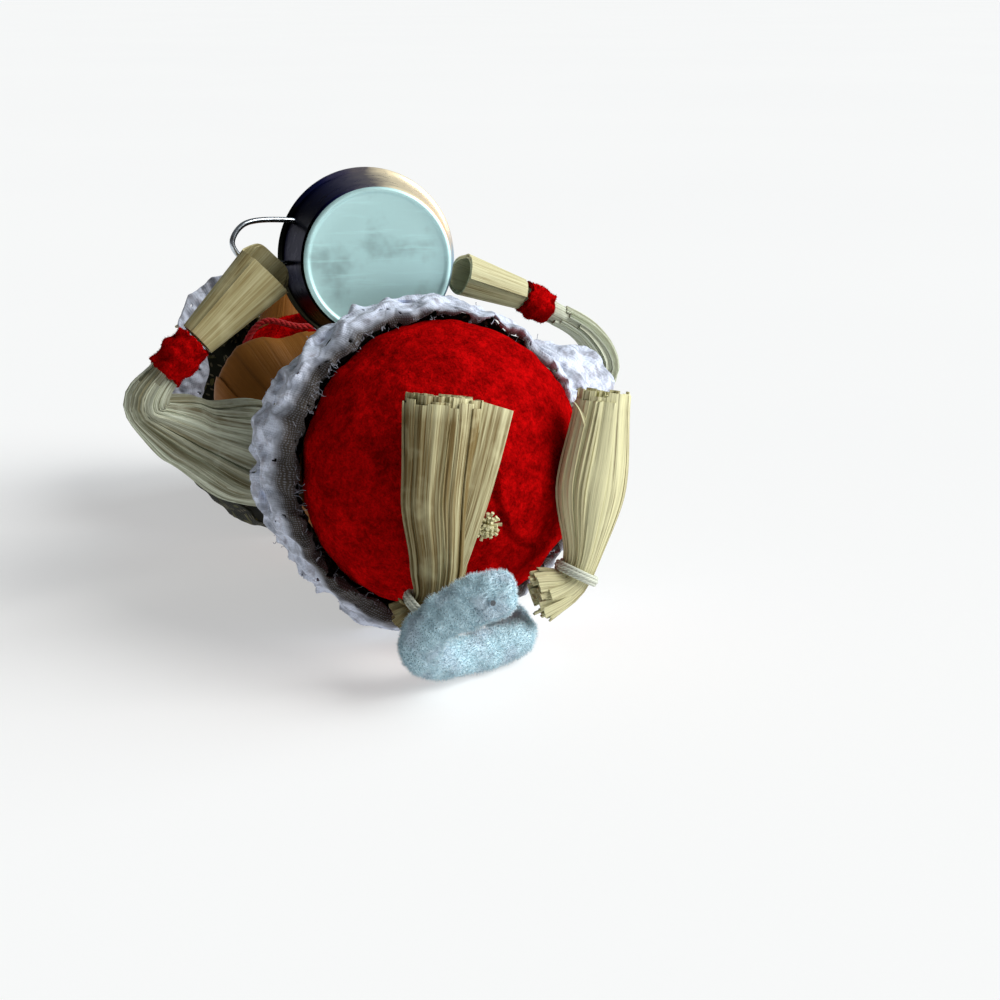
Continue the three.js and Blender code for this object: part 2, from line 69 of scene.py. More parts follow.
# The lapped edge of the felt, in x and y over the dome.
SEAM = [(3.0, -2.0), (3.6, 4.4), (5.7, 9.5), (8.9, 12.4), (12.4, 13.4), (19, 13.0), (27, 11)]
SKIRT = {"hem": 28.2, "waist": 14.5, "height": 38.0, "taper": 1.7, "slack": 6.5, "drop": 5.8}
HEM_SHAPE = {"front": 0.06, "dent": 0.07, "dent_angle": 2.6, "dent_width": 0.45}
HEM_WAVES = {"count": 13, "ripple": 0.3, "wing": 11.0, "wing_angle": -0.27, "wing_width": 0.33}
# Lace eyelets: their spacing, their radius and the share of them that is open.
EYELETS = {"pitch": 1.35, "radius": 0.3, "open": 0.05}
# The hem lace in section, as (radius, height), from its frayed edge by the felt to its loose edge.
HEM_LACE = [(25.3, -1.6), (25.9, -2.9), (26.9, -3.6), (28.2, -2.8), (29.2, -0.9), (29.5, 2.5), (29.9, 6.3)]
# Each foot's tone range is partly painted light and shade: the right foot's is low and darker, the left
# foot's high and lighter.
FEET = {
    "right": {
        "spine": [(-13.4, 22.2, -22.4), (-9.2, 17.4, -24.4), (-8.3, 2, -25.2), (-5.8, -13.8, -25.2)],
        "wide": [(0, 4.2), (0.1, 2.9), (0.3, 4.5), (0.62, 5.6), (1, 6.6)],
        "high": [(0, 2.8), (0.1, 2.6), (0.5, 4.1), (1, 4.2)],
        "tie": 0.1,
        "tone": (-0.3, 0.2),
    },
    "left": {
        "spine": [(9.8, 21.4, -19.2), (16.7, 19, -20), (20.9, 3, -20.4), (23.9, -11.8, -20.4)],
        "wide": [(0, 4.4), (0.22, 2.7), (0.6, 6.1), (1, 4.5)],
        "high": [(0, 3), (0.22, 2.7), (0.6, 4.4), (1, 4)],
        "tie": 0.22,
        "tone": (0.45, 1.0),
    },
}
# The layers of husk in a foot, as (share of its radius, strips, columns of a strip, crinkle at the toes).
FOOT_LAYERS = [
    (1.0, 15, 9, 0.05), (0.93, 12, 9, 0.12), (0.8, 11, 7, 0.22), (0.64, 9, 7, 0.28),
    (0.48, 7, 7, 0.28), (0.3, 5, 6, 0.24), (0.14, 3, 5, 0.15),
]
LOOSE_STRIP = {"heel": (-8.2, 17.2, -26.2), "toe": (2.5, -11.3, -25.9), "width": 5.7, "rise": 1.5}
# The thin curl on the left foot: its root, its run to the tip, how far the tip bends away, and its breadth.
SLIVER = {"root": (19.4, -4.5, -22.6), "run": (-1.1, -6.0, -0.6), "bend": (-1.6, 0, -0.8),
          "breadth": (0.45, 0.05, 0.1)}
TIE = {"turns": 3.4, "height": 1.7, "string": 0.36}
STAR = {"x": 1.6, "y": 8.2, "radius": 2.4}
# The rings of straw in the star, as (share of its radius, straws).
STAR_RINGS = [(1.0, 15), (0.72, 12), (0.42, 8), (0.15, 4)]
TAIL = [
    (5.8, 23.4, -8.5), (8.6, 27, -12.8), (6.2, 28, -18.5), (-1, 28.5, -20.8),
    (-9, 27.8, -24), (-13, 25.4, -27.4), (-13.2, 22, -29.8), (-11.2, 19.4, -32), (-7.4, 17.6, -33.6),
    (-3.8, 16.4, -35), (-0.4, 16.2, -35.4),
]
TAIL_RADIUS = 3.5
# The bare tip of the tail's wire: where it comes out, its run and its radius.
TAIL_WIRE = {"root": (-5.4, 16.7, -38.2), "run": (-0.25, -0.3, -1.8), "radius": 0.45}
# The hand and sleeve tones are partly painted light and shade: the right arm's run darker, the left arm's
# lighter.
ARMS = {
    "right": {
        "sleeve": [(-12, 2.4, 48), (-19.5, 0.6, 42.5), (-33.6, -5.6, 32.5), (-41.8, -12, 25.2),
                   (-38.4, -17.2, 23.4), (-32.9, -22, 22.8)],
        "wide": [(0, 9.6), (0.22, 9.2), (0.52, 6), (0.73, 3.6), (0.86, 2.4), (1, 2.4)],
        "high": [(0, 6.4), (0.22, 6.2), (0.52, 4.6), (0.73, 3.2), (0.86, 2.4), (1, 2.4)],
        "cuff": ((-38.6, -17, 23.4), (-33, -22, 22.8), 3.9),
        "hand": ((-32.5, -22.4, 22.8), (-19.7, -33.5, 22)),
        "hand_wide": (3.5, 5.8),
        "hand_high": (2.8, 4.0),
        "hand_edge": -2.15,
        "hand_back": 0.2,
        "hand_tone_and_shade": 0.1,
        "sleeve_tone_and_shade": (0.0, 1.0),
    },
    "left": {
        "sleeve": [(12, 2.4, 48), (20.5, 0.4, 42.4), (35, -5, 31.6), (45, -10.8, 23.6),
                   (41.5, -17.5, 21.8), (28, -25.8, 20.8)],
        "wide": [(0, 9.2), (0.22, 8.6), (0.52, 5.2), (0.7, 2.6), (0.86, 2.0), (1, 2.2)],
        "high": [(0, 6.4), (0.22, 6), (0.52, 4.2), (0.7, 2.5), (0.86, 2.0), (1, 2.2)],
        "cuff": ((32.9, -23.1, 21.1), (28.2, -25.7, 20.8), 3.5),
        "hand": ((27.6, -26, 20.8), (15.9, -30.4, 20)),
        "hand_wide": (2.9, 4.0),
        "hand_high": (2.6, 3.1),
        "hand_edge": -1.7,
        "hand_back": 0.08,
        "hand_tone_and_shade": 0.66,
        "sleeve_tone_and_shade": (0.5, 0.9),
    },
}
CUP = {"foot": (-2.5, -33.8, 12), "rim": (3.4, -34.4, 36), "foot_radius": 13.0, "rim_radius": 15.7}
CUP_WALL = 0.9
CUP_BEAD = 0.7
# The radius of the handle's wire.
HANDLE_WIRE = 0.5
HANDLE = [
    (-7.5, -40.8, 33), (-13, -41.9, 32.6), (-20.6, -41.4, 31.6), (-23, -38.2, 31),
    (-20.8, -35, 31), (-15, -34.2, 31.8), (-8.5, -34.2, 32.6),
]
BODICE_LOW = 39.05
BODICE_HIGH = 65.4
BODICE_RADIUS = [(39, 12.6), (46, 17.2), (52.5, 18.0), (59, 16), (64.5, 10), (65.5, 9)]
BODICE_X = [(39, -1), (52, -2.6), (65, -0.5)]
BODICE_Y = [(39, 4.6), (52, -2.6), (65, -2)]
PUFF = {"angle": -2.55, "width": 0.5, "reach": [(41, 0), (48, 4.6), (52.5, 4.6), (57, 0)]}
SCARF = {"low": 61.2, "high": 66.6, "inner": 10.0, "front": 22.0, "back": 13.0, "waves": 6, "ripple": 0.9}
# The neck cord's strands go once round in this length.
CORD_LAY = 3.2
NECK_CORD = [
    (-16.6, -9.2, 60.6), (-15.6, -17, 59), (-11.4, -22.6, 57.6), (-4.2, -21.2, 57),
    (2.6, -21, 57.6), (10, -18.2, 58.6), (15.4, -10, 60.2),
]
HEAD_MIDDLE = np.array((0, -3.6, 82.0))
HEAD_NOD = math.radians(12)
HEAD_OUTLINE = [(14.4, 6), (10.6, 12), (6.8, 18), (4, 24), (1.8, 28), (0, 29)]
HEAD_RADIUS = 15.9
SNOUT = 29.0
EYE = {"side": 6.6, "ahead": 11.6, "above": 7.0, "radius": 1.7}
NOSE_RADIUS = 2.2
BONNET = {"y": -0.4, "top": 105.5, "front": 90.0, "back": 60.0, "folds": 15}
CROWN = [(0, 0), (9, 0.03), (17.4, 0.13), (22.6, 0.34), (24.4, 0.6), (23.6, 0.82), (22.4, 1)]
BRIM = {"inner": 25.6, "front": 92.0, "back": 78.0, "from": -3.4, "to": 0.26, "ripple": 0.9}
# The brim's outer radius by the angle round the head: it is tucked in behind the right arm.
BRIM_REACH = [(-3.4, 26.6), (-3.0, 27.8), (-2.5, 29.8), (-2.1, 33.0), (-1.6, 33.6)]
# From the start angle to the end angle it goes inward and lower by these.
BRIM_TUCK = {"start": -2.15, "end": -2.6, "inward": 5, "lower": 8}
# Thicknesses of the felt.
CUFF_FELT = 0.75
SCARF_FELT = 0.6
EAR = {"radius": 7.4, "cup": 1.8, "side": 11.6, "ahead": -21.2, "height": 100.0}

# The camera stands at the photograph's angle, this far in millimetres from the middle of the hem.
# Its focal length and the hem's place are in pixels of the square photograph.
CAMERA = {"azimuth": 23.0, "elevation": 16.5, "distance": 300.0, "focal": 1770.0, "hem": (428.0, 462.0)}
# The photograph's side in pixels, and the camera's sensor in millimetres.
PHOTO_SIDE = 1000.0
SENSOR = 36.0
# The floor's radius is in metres.
FLOOR = {"radius": 60.0, "corners": 64, "glow": 0.48}
# The suns, as (strength, spread in degrees, colour, the way they shine).
LIGHTS = {
    "key_light": (3.0, 40, (1.0, 0.985, 0.96), (-0.66, 0.46, -0.6)),
    "side_light": (1.7, 50, (0.86, 0.95, 1.0), (-0.81, 0.07, -0.58)),
}
SKY = {"colour": (0.93, 0.97, 1.0, 1.0), "strength": 0.1}


def table_y(z):
    """The table's plane in the doll's frame."""
    return (HEM_ABOVE_TABLE - z * math.sin(LEAN)) / math.cos(LEAN)


def lay(points):
    """Doll frame in millimetres to the part's frame in metres, lying on its back."""
    points = np.asarray(points, float)
    sine, cosine = math.sin(LEAN), math.cos(LEAN)
    origin = cosine * REST_HEIGHT - sine * table_y(REST_HEIGHT)
    x, y, z = points[..., 0], points[..., 1], points[..., 2]
    laid = np.stack([x, cosine * z - sine * y - origin, HEM_ABOVE_TABLE - cosine * y - sine * z], -1)
    return laid * MM


def mixed(first, second, share):
    return first + (second - first) * share


def millimetres(metres):
    return metres * 1000


def together(*parts):
    """Parts spread to one shape and set side by side, as coordinates."""
    return np.stack(np.broadcast_arrays(*parts), -1)


def full_turn(count):
    """Angles evenly round a full turn, the last short of the first."""
    return np.linspace(0, TAU, count, endpoint=False)


def turn_from(angle, middle):
    """The turn from a middle angle, half a turn at most either way."""
    return (angle - middle + math.pi) % TAU - math.pi


def smoothstep(at, low, high):
    share = np.clip((np.asarray(at, float) - low) / (high - low), 0, 1)
    return share * share * (3 - 2 * share)


def eased(pairs, at):
    """A value read off (position, value) pairs, eased from each pair to the next."""
    at = np.asarray(at, float)
    result = np.full(at.shape, float(pairs[0][1]))
    for (start, value), (end, next_value) in zip(pairs, pairs[1:]):
        result = np.where(at > start, mixed(value, next_value, smoothstep(at, start, end)), result)
    return result


def unit(vectors):
    vectors = np.asarray(vectors, float)
    return vectors / np.maximum(np.linalg.norm(vectors, axis=-1, keepdims=True), 1e-12)


def lumps(points, size, seed):
    """Smooth random swellings about size millimetres across, mostly between -1 and 1."""
    rng = np.random.default_rng(seed)
    points = np.asarray(points, float)
    total = np.zeros(points.shape[:-1])
    for _ in range(14):
        direction = unit(rng.normal(size=3))
        pace = TAU / size * rng.uniform(0.6, 1.5)
        total += np.sin(points @ direction * pace + rng.uniform(0, TAU))
    return total / 3.4


class Path:
    """A smooth path through points, read by the share of its length."""

    def __init__(self, points):
        points = np.asarray(points, float)
        ends = np.concatenate([[2 * points[0] - points[1]], points, [2 * points[-1] - points[-2]]])
        share = np.linspace(0, 1, 40, endpoint=False)[:, None]
        dense = []
        for before, start, end, after in zip(ends, ends[1:], ends[2:], ends[3:]):
            steps = ((before, start), (start, end), (end, after))
            first, second, third = [math.sqrt(np.linalg.norm(q - p)) for p, q in steps]
            leave = (start - before) / first - (end - before) / (first + second) + (end - start) / second
            reach = (end - start) / second - (after - start) / (second + third) + (after - end) / third
            leave, reach = leave * second, reach * second
            square, cube = share ** 2, share ** 3
            dense.append(start + share * leave + square * (3 * (end - start) - 2 * leave - reach)
                         + cube * (2 * (start - end) + leave + reach))
        self.dense = np.concatenate(dense + [points[-1:]])
        run = np.concatenate([[0], np.cumsum(np.linalg.norm(np.diff(self.dense, axis=0), axis=1))])
        self.length = run[-1]
        self.share = run / run[-1]

    def point(self, share):
        return np.stack([np.interp(share, self.share, self.dense[:, k]) for k in range(3)], -1)

    def frames(self, share):
        """Point, level side and rise at each share of the length."""
        share = np.asarray(share, float)
        along = unit(self.point(np.minimum(share + 0.01, 1)) - self.point(np.maximum(share - 0.01, 0)))
        side = unit(np.cross(UP, along))
        return self.point(share), side, np.cross(along, side)


def ringed(place, side, rise, level, upright, angle):
    """Points round the places of a path, at radii to its side and along its rise."""
    return (place + side[:, None] * (level * np.cos(angle))[..., None]
            + rise[:, None] * (upright * np.sin(angle))[..., None])


def turning_frames(points):
    """Two directions across a line of points that turn no more than the line does."""
    along = unit(np.gradient(points, axis=0))
    first = np.cross(along[0], (0.31, 0.87, 0.38))
    sides = []
    for tangent in along:
        first = unit(first - tangent * np.dot(first, tangent))
        sides.append(first)
    sides = np.array(sides)
    return sides, np.cross(along, sides)


class Skin:
    """Gathers grids of corners into one mesh, with a UV map, a tone and a share of nap."""

    def __init__(self):
        self.points = []
        self.faces = []
        self.corners = []
        self.tones = []
        self.naps = []
        self.marks = []
        self.count = 0

    def corners_of(self, points, tone, nap):
        """Keeps a block of corners and gives the number of its first."""
        first = self.count
        shape = points.shape[:-1]
        self.points.append(points.reshape(-1, 3))
        self.tones.append(np.broadcast_to(np.asarray(tone, float), shape).ravel())
        self.naps.append(np.broadcast_to(np.asarray(nap, float), shape).ravel())
        self.count += self.points[-1].shape[0]
        return first

    def quads(self, faces, corners, mark=0):
        self.faces.append(faces.reshape(-1, 4))
        self.corners.append(corners.reshape(-1, 4, 2))
        self.marks.append(np.full(self.faces[-1].shape[0], mark))

    def grid(self, points, uv, tone=0.5, around=False, mark=0, keep=None, nap=1.0):
        """A surface over rows and columns of corners. Around joins the last column to the first."""
        rows, columns = points.shape[:2]
        index = np.arange(rows * columns).reshape(rows, columns) + self.corners_of(points, tone, nap)
        if around:
            index = np.concatenate([index, index[:, :1]], 1)
        faces = np.stack([index[:-1, :-1], index[:-1, 1:], index[1:, 1:], index[1:, :-1]], -1)
        corners = np.stack([uv[:-1, :-1], uv[:-1, 1:], uv[1:, 1:], uv[1:, :-1]], -2)
        if keep is not None:
            faces, corners = faces[keep], corners[keep]
        self.quads(faces, corners, mark)

    def leaf(self, points, thick, uv, tone=0.5):
        """A thin closed strip of even thickness about a grid of corners."""
        columns = points.shape[1]
        normal = unit(np.cross(np.gradient(points, axis=1), np.gradient(points, axis=0)))
        front = points + normal * thick / 2
        back = points - normal * thick / 2
        first = self.count
        ring_uv = np.concatenate([uv, uv[:, ::-1], uv[:, :1]], 1)
        self.grid(np.concatenate([front, back[:, ::-1]], 1), ring_uv, tone, around=True)
        step = np.arange(columns - 1)
        for row, turned in ((0, True), (points.shape[0] - 1, False)):
            base = first + row * 2 * columns
            ends = np.stack([step, step + 1, 2 * columns - 2 - step, 2 * columns - 1 - step], -1) + base
            corners = np.stack([uv[row, :-1], uv[row, 1:], uv[row, 1:], uv[row, :-1]], -2)
            self.quads(ends[:, ::-1] if turned else ends, corners[:, ::-1] if turned else corners)

    def rope(self, line, radius, sides, tone=0.5):
        """A round rope about a line of points, closed at both ends."""
        line = np.asarray(line, float)
        radius = np.broadcast_to(np.asarray(radius, float), (len(line),))
        run = np.concatenate([[0], np.cumsum(np.linalg.norm(np.diff(line, axis=0), axis=1))])
        side, rise = turning_frames(line)
        parts = [np.concatenate([part[:1], part, part[-1:]]) for part in (line, run, side, rise)]
        line, run, side, rise = parts
        radius = np.concatenate([[0], radius, [0]])
        angle = np.linspace(0, TAU, sides + 1)
        cosine, sine = np.cos(angle[:-1])[:, None], np.sin(angle[:-1])[:, None]
        points = line[:, None] + radius[:, None, None] * (side[:, None] * cosine + rise[:, None] * sine)
        round_way = angle[None, :] * max(radius.max(), 0.01)
        uv = together(round_way, run[:, None])
        self.grid(points, uv, tone, around=True)

    def mesh(self, name, sharp):
        """One Blender mesh of everything gathered, laid down and in metres."""
        points = lay(np.concatenate(self.points))
        faces = np.concatenate(self.faces).astype(np.int32)
        mesh = bpy.data.meshes.new(name)
        mesh.vertices.add(len(points))
        mesh.vertices.foreach_set("co", points.ravel())
        mesh.loops.add(faces.size)
        mesh.loops.foreach_set("vertex_index", faces.ravel())
        mesh.polygons.add(len(faces))
        mesh.polygons.foreach_set("loop_start", np.arange(0, faces.size, 4, dtype=np.int32))
        mesh.polygons.foreach_set("material_index", np.concatenate(self.marks).astype(np.int32))
        mesh.uv_layers.new(name="UVMap").data.foreach_set("uv", np.concatenate(self.corners).ravel())
        for attribute, values in (("tone", self.tones), ("nap", self.naps)):
            layer = mesh.attributes.new(attribute, "FLOAT", "POINT")
            layer.data.foreach_set("value", np.concatenate(values))
        mesh.update(calc_edges=True)
        work = bmesh.new()
        work.from_mesh(mesh)
        bmesh.ops.remove_doubles(work, verts=work.verts, dist=WELD)
        loose = [vert for vert in work.verts if not vert.link_faces]
        bmesh.ops.delete(work, geom=loose, context="VERTS")
        work.to_mesh(mesh)
        work.free()
        mesh.polygons.foreach_set("use_smooth", np.ones(len(mesh.polygons), dtype=bool))
        mesh.set_sharp_from_angle(angle=math.radians(sharp))
        return mesh

    def piece(self, name, *finishes, sharp=50.0):
        """A new object of everything gathered, its edges sharp past an angle in degrees."""
        return linked(name, self.mesh(name, sharp), *[finish_named(finish) for finish in finishes])


def linked(name, mesh, *materials):
    """A new object at the origin that shows a mesh."""
    piece = bpy.data.objects.new(name, mesh)
    bpy.context.scene.collection.objects.link(piece)
    for material in materials:
        mesh.materials.append(material)
    return piece


def settled(piece):
    """Replaces a piece's mesh by what its modifiers make of it."""
    bpy.context.view_layer.update()
    graph = bpy.context.evaluated_depsgraph_get()
    made = bpy.data.meshes.new_from_object(piece.evaluated_get(graph), depsgraph=graph)
    made.name = piece.name
    spare = piece.data
    piece.modifiers.clear()
    piece.data = made
    bpy.data.meshes.remove(spare)
    return piece


def thickened(piece, thick):
    """Gives an open sheet its thickness, with rims round its edge and holes."""
    solid = piece.modifiers.new("thickness", "SOLIDIFY")
    solid.thickness = thick * MM
    solid.offset = 0.0
    solid.use_even_offset = False
    return settled(piece)


def kept(piece, slot, *nodes):
    """Fixes a finished piece to the part in the place of its solids."""
    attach(piece, "root")
    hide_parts(*nodes)
    return piece


def nap_tree():
    """The node tree that grows short leaning hairs from a surface."""
    tree = bpy.data.node_groups.get("nap")
    if tree:
        return tree
    tree = bpy.data.node_groups.new("nap", "GeometryNodeTree")
    sockets = tree.interface
    sockets.new_socket(name="Surface", in_out="INPUT", socket_type="NodeSocketGeometry")
    for name in ("Hairs per area", "Length", "Root radius", "Lean"):
        sockets.new_socket(name=name, in_out="INPUT", socket_type="NodeSocketFloat")
    sockets.new_socket(name="Seed", in_out="INPUT", socket_type="NodeSocketInt")
    sockets.new_socket(name="Fibre", in_out="INPUT", socket_type="NodeSocketMaterial")
    sockets.new_socket(name="Napped surface", in_out="OUTPUT", socket_type="NodeSocketGeometry")

    def node(kind, settings=(), **values):
        made = tree.nodes.new(kind)
        for key, value in dict(settings).items():
            setattr(made, key, value)
        for key, value in values.items():
            socket = made.inputs[int(key[1:])] if key[1:].isdigit() else made.inputs[key.replace("_", " ")]
            if isinstance(value, bpy.types.NodeSocket):
                tree.links.new(value, socket)
            else:
                socket.default_value = value
        return made

    given = node("NodeGroupInput").outputs
    where = node("GeometryNodeInputNamedAttribute", {"data_type": "FLOAT"}, Name="nap").outputs[0]
    density = node("ShaderNodeMath", {"operation": "MULTIPLY"},
                   i0=given["Hairs per area"], i1=where).outputs[0]
    roots = node("GeometryNodeDistributePointsOnFaces", {"distribute_method": "RANDOM"},
                 Mesh=given["Surface"], Density=density, Seed=given["Seed"])
    hair = node("GeometryNodeMeshCone", {"fill_type": "NGON"}, Vertices=3, Radius_Top=0.0,
                Radius_Bottom=given["Root radius"], Depth=given["Length"])
    back = node("ShaderNodeMath", {"operation": "MULTIPLY"}, i0=given["Lean"], i1=-1.0).outputs[0]
    lean = node("FunctionNodeRandomValue", {"data_type": "FLOAT_VECTOR"}, i0=back, i1=given["Lean"],
                i8=given["Seed"]).outputs[0]
    turn = node("FunctionNodeRotateRotation", {"rotation_space": "LOCAL"},
                Rotation=roots.outputs["Rotation"], Rotate_By=lean)
    size = node("FunctionNodeRandomValue", {"data_type": "FLOAT"},
                i2=0.45, i3=1.15, i8=given["Seed"]).outputs[1]
    hairs = node("GeometryNodeInstanceOnPoints", Points=roots.outputs["Points"],
                 Instance=hair.outputs["Mesh"], Rotation=turn.outputs[0], Scale=size)
    both = node("GeometryNodeJoinGeometry")
    tree.links.new(hairs.outputs[0], both.inputs[0])
    tree.links.new(given["Surface"], both.inputs[0])
    real = node("GeometryNodeRealizeInstances", Geometry=both.outputs[0])
    dressed = node("GeometryNodeSetMaterial", Geometry=real.outputs[0], Material=given["Fibre"])
    done = node("NodeGroupOutput")
    tree.links.new(dressed.outputs[0], done.inputs[0])
    return tree


def napped(piece, per_mm2, length, radius, lean, seed):
    """Grows hairs of a piece's material from it: so many to a square millimetre, sized in millimetres."""
    tree = nap_tree()
    values = {
        "Hairs per area": per_mm2 * 1e6, "Length": length * MM, "Root radius": radius * MM,
        "Lean": lean, "Seed": seed, "Fibre": piece.data.materials[0],
    }
    grow = piece.modifiers.new("nap", "NODES")
    grow.node_group = tree
    for item in tree.interface.items_tree:
        if item.in_out == "INPUT" and item.name in values:
            grow[item.identifier] = values[item.name]
    settled(piece)
    piece.data.polygons.foreach_set("use_smooth", np.ones(len(piece.data.polygons), dtype=bool))
    return piece


def screen(red, green, blue):
    """A screen colour from 0 to 255 as linear light."""
    shares = (red / 255, green / 255, blue / 255)
    return tuple(c / 12.92 if c < 0.04045 else ((c + 0.055) / 1.055) ** 2.4 for c in shares)


def shaded(colour, share):
    return tuple(c * share for c in colour)


class Value:
    """A number on a surface, so that shader maths can be written as sums."""

    def __init__(self, finish, socket):
        self.finish = finish
        self.socket = socket

    def worked(self, operation, first, second):
        return self.finish.node("ShaderNodeMath", {"operation": operation}, {0: first, 1: second})

    def __add__(self, other):
        return self.worked("ADD", self, other)

    def __sub__(self, other):
        return self.worked("SUBTRACT", self, other)

    def __rsub__(self, other):
        return self.worked("SUBTRACT", other, self)

    def __mul__(self, other):
        return self.worked("MULTIPLY", self, other)

    def __pow__(self, other):
        return self.worked("POWER", self, other)

    __radd__ = __add__
    __rmul__ = __mul__

    def over(self, other):
        """1 where this is greater, else 0."""
        return self.worked("GREATER_THAN", self, other)

    def size(self):
        return self.worked("ABSOLUTE", self, 0.0)

    def eased(self, low, high):
        """0 below low, 1 above high, and smooth between them."""
        values = {"Value": self, "From Min": low, "From Max": high}
        return self.finish.node("ShaderNodeMapRange", {"interpolation_type": "SMOOTHSTEP"}, values)


class Finish:
    """A material that is being made: one shader and the nodes that feed it."""

    def __init__(self, name, constants):
        self.material = bpy.data.materials.new(name)
        self.material.use_nodes = True
        self.tree = self.material.node_tree
        self.shader = next(node for node in self.tree.nodes if node.type == "BSDF_PRINCIPLED")
        for socket, value in constants.items():
            self.shader.inputs[socket].default_value = value

    def node(self, kind, settings=None, values=None, output=0):
        """Adds a node, sets it up, feeds its sockets, and gives one of its outputs."""
        made = self.tree.nodes.new(kind)
        for key, setting in (settings or {}).items():
            if key == "stops":
                ramp = made.color_ramp
                while len(ramp.elements) < len(setting):
                    ramp.elements.new(0.5)
                for element, (place, colour) in zip(ramp.elements, setting):
                    element.position = place
                    element.color = (*colour, 1.0)
            else:
                setattr(made, key, setting)
        for key, value in (values or {}).items():
            self.feed(made.inputs[key], value)
        return Value(self, made.outputs[output])

    def feed(self, socket, value):
        if isinstance(value, Value):
            self.tree.links.new(value.socket, socket)
        else:
            socket.default_value = value

    def place(self, spread=(1000.0, 1000.0, 1000.0)):
        """The place on the part, in millimetres unless it is spread otherwise."""
        at = self.node("ShaderNodeTexCoord", output=3)
        return self.spread(at, spread)

    def cloth_place(self, spread=(1.0, 1.0, 1.0)):
        """The place on the piece's own UV map: millimetres, but shares of the whole on the cup."""
        at = self.node("ShaderNodeUVMap", {"uv_map": "UVMap"})
        return self.spread(at, spread)

    def spread(self, vector, factors):
        return self.node("ShaderNodeVectorMath", {"operation": "MULTIPLY"}, {0: vector, 1: factors})

    def noise(self, vector, scale, detail=3.0, rough=0.55):
        values = {"Vector": vector, "Scale": scale, "Detail": detail, "Roughness": rough}
        return self.node("ShaderNodeTexNoise", None, values)

    def wave(self, vector, way, scale, distortion, detail=1.0):
        values = {"Vector": vector, "Scale": scale, "Distortion": distortion, "Detail": detail}
        return self.node("ShaderNodeTexWave", {"bands_direction": way}, values, output=1)

    def tone(self):
        return self.node("ShaderNodeAttribute", {"attribute_name": "tone"}, output=2)

    def ramp(self, value, stops):
        return self.node("ShaderNodeValToRGB", {"stops": stops}, {0: value})

    def blend(self, first, second, share):
        first = (*first, 1.0) if isinstance(first, tuple) else first
        second = (*second, 1.0) if isinstance(second, tuple) else second
        return self.node("ShaderNodeMix", {"data_type": "RGBA"}, {0: share, 6: first, 7: second}, output=2)

    def colour(self, value):
        self.feed(self.shader.inputs["Base Color"], value)

    def metal(self, value):
        self.feed(self.shader.inputs["Metallic"], value)

    def rough(self, value):
        self.feed(self.shader.inputs["Roughness"], value)

    def bump(self, height, depth, strength=1.0):
        """Raises the surface by up to depth millimetres."""
        values = {"Strength": strength, "Distance": depth * MM, "Height": height}
        self.feed(self.shader.inputs["Normal"], self.node("ShaderNodeBump", None, values))


def felt_finish(colours):
    """Red plush felt: soft, matted in clumps, darker and paler in random patches."""
    finish = Finish("plush_felt", {"Specular IOR Level": 0.0, "Roughness": 1.0})
    place = finish.place()
    clumps = finish.noise(place, 0.3, 4.0)
    tufts = finish.noise(place, 1.0, 3.0)
    fibres = finish.noise(place, 2.6, 4.0, 0.65)
    depth = clumps * 0.35 + tufts * 0.3 + fibres * 0.35
    red = tuple(colours.felt)
    finish.colour(finish.ramp(depth, [(0.4, shaded(red, 0.5)), (0.5, red), (0.62, shaded(red, 1.7))]))
    finish.bump(fibres * 0.5 + tufts * 0.5, 0.6, 0.7)
    return finish.material


def husk_finish(name, light, dark, streak, gloss):
    """Dry husk: fine lengthwise fibres, darker streaks and a different tone for each strip."""
    finish = Finish(name, {"Specular IOR Level": 0.18})
    fibre = finish.noise(finish.cloth_place((2.7, 0.05, 1.0)), 1.0, 4.0, 0.65)
    vein = finish.noise(finish.cloth_place((0.9, 0.02, 1.0)), 1.0, 2.0)
    blotch = finish.noise(finish.place(), 0.16, 3.0)
    base = finish.blend(dark, light, (fibre * 1.5 + vein * 0.6 + finish.tone() * 0.5 - 0.82).eased(0.0, 0.9))
    lines = (1.0 - vein).eased(0.52, 0.68) * (1.0 - fibre).eased(0.42, 0.62)
    streaked = finish.blend(base, streak, lines * 0.75)
    finish.colour(finish.blend(streaked, shaded(light, 1.08), blotch.eased(0.5, 0.75) * 0.35))
    finish.rough(0.62 - fibre * gloss)
    finish.bump(fibre * 0.7 + vein * 0.6, 0.22, 0.75)
    return finish.material


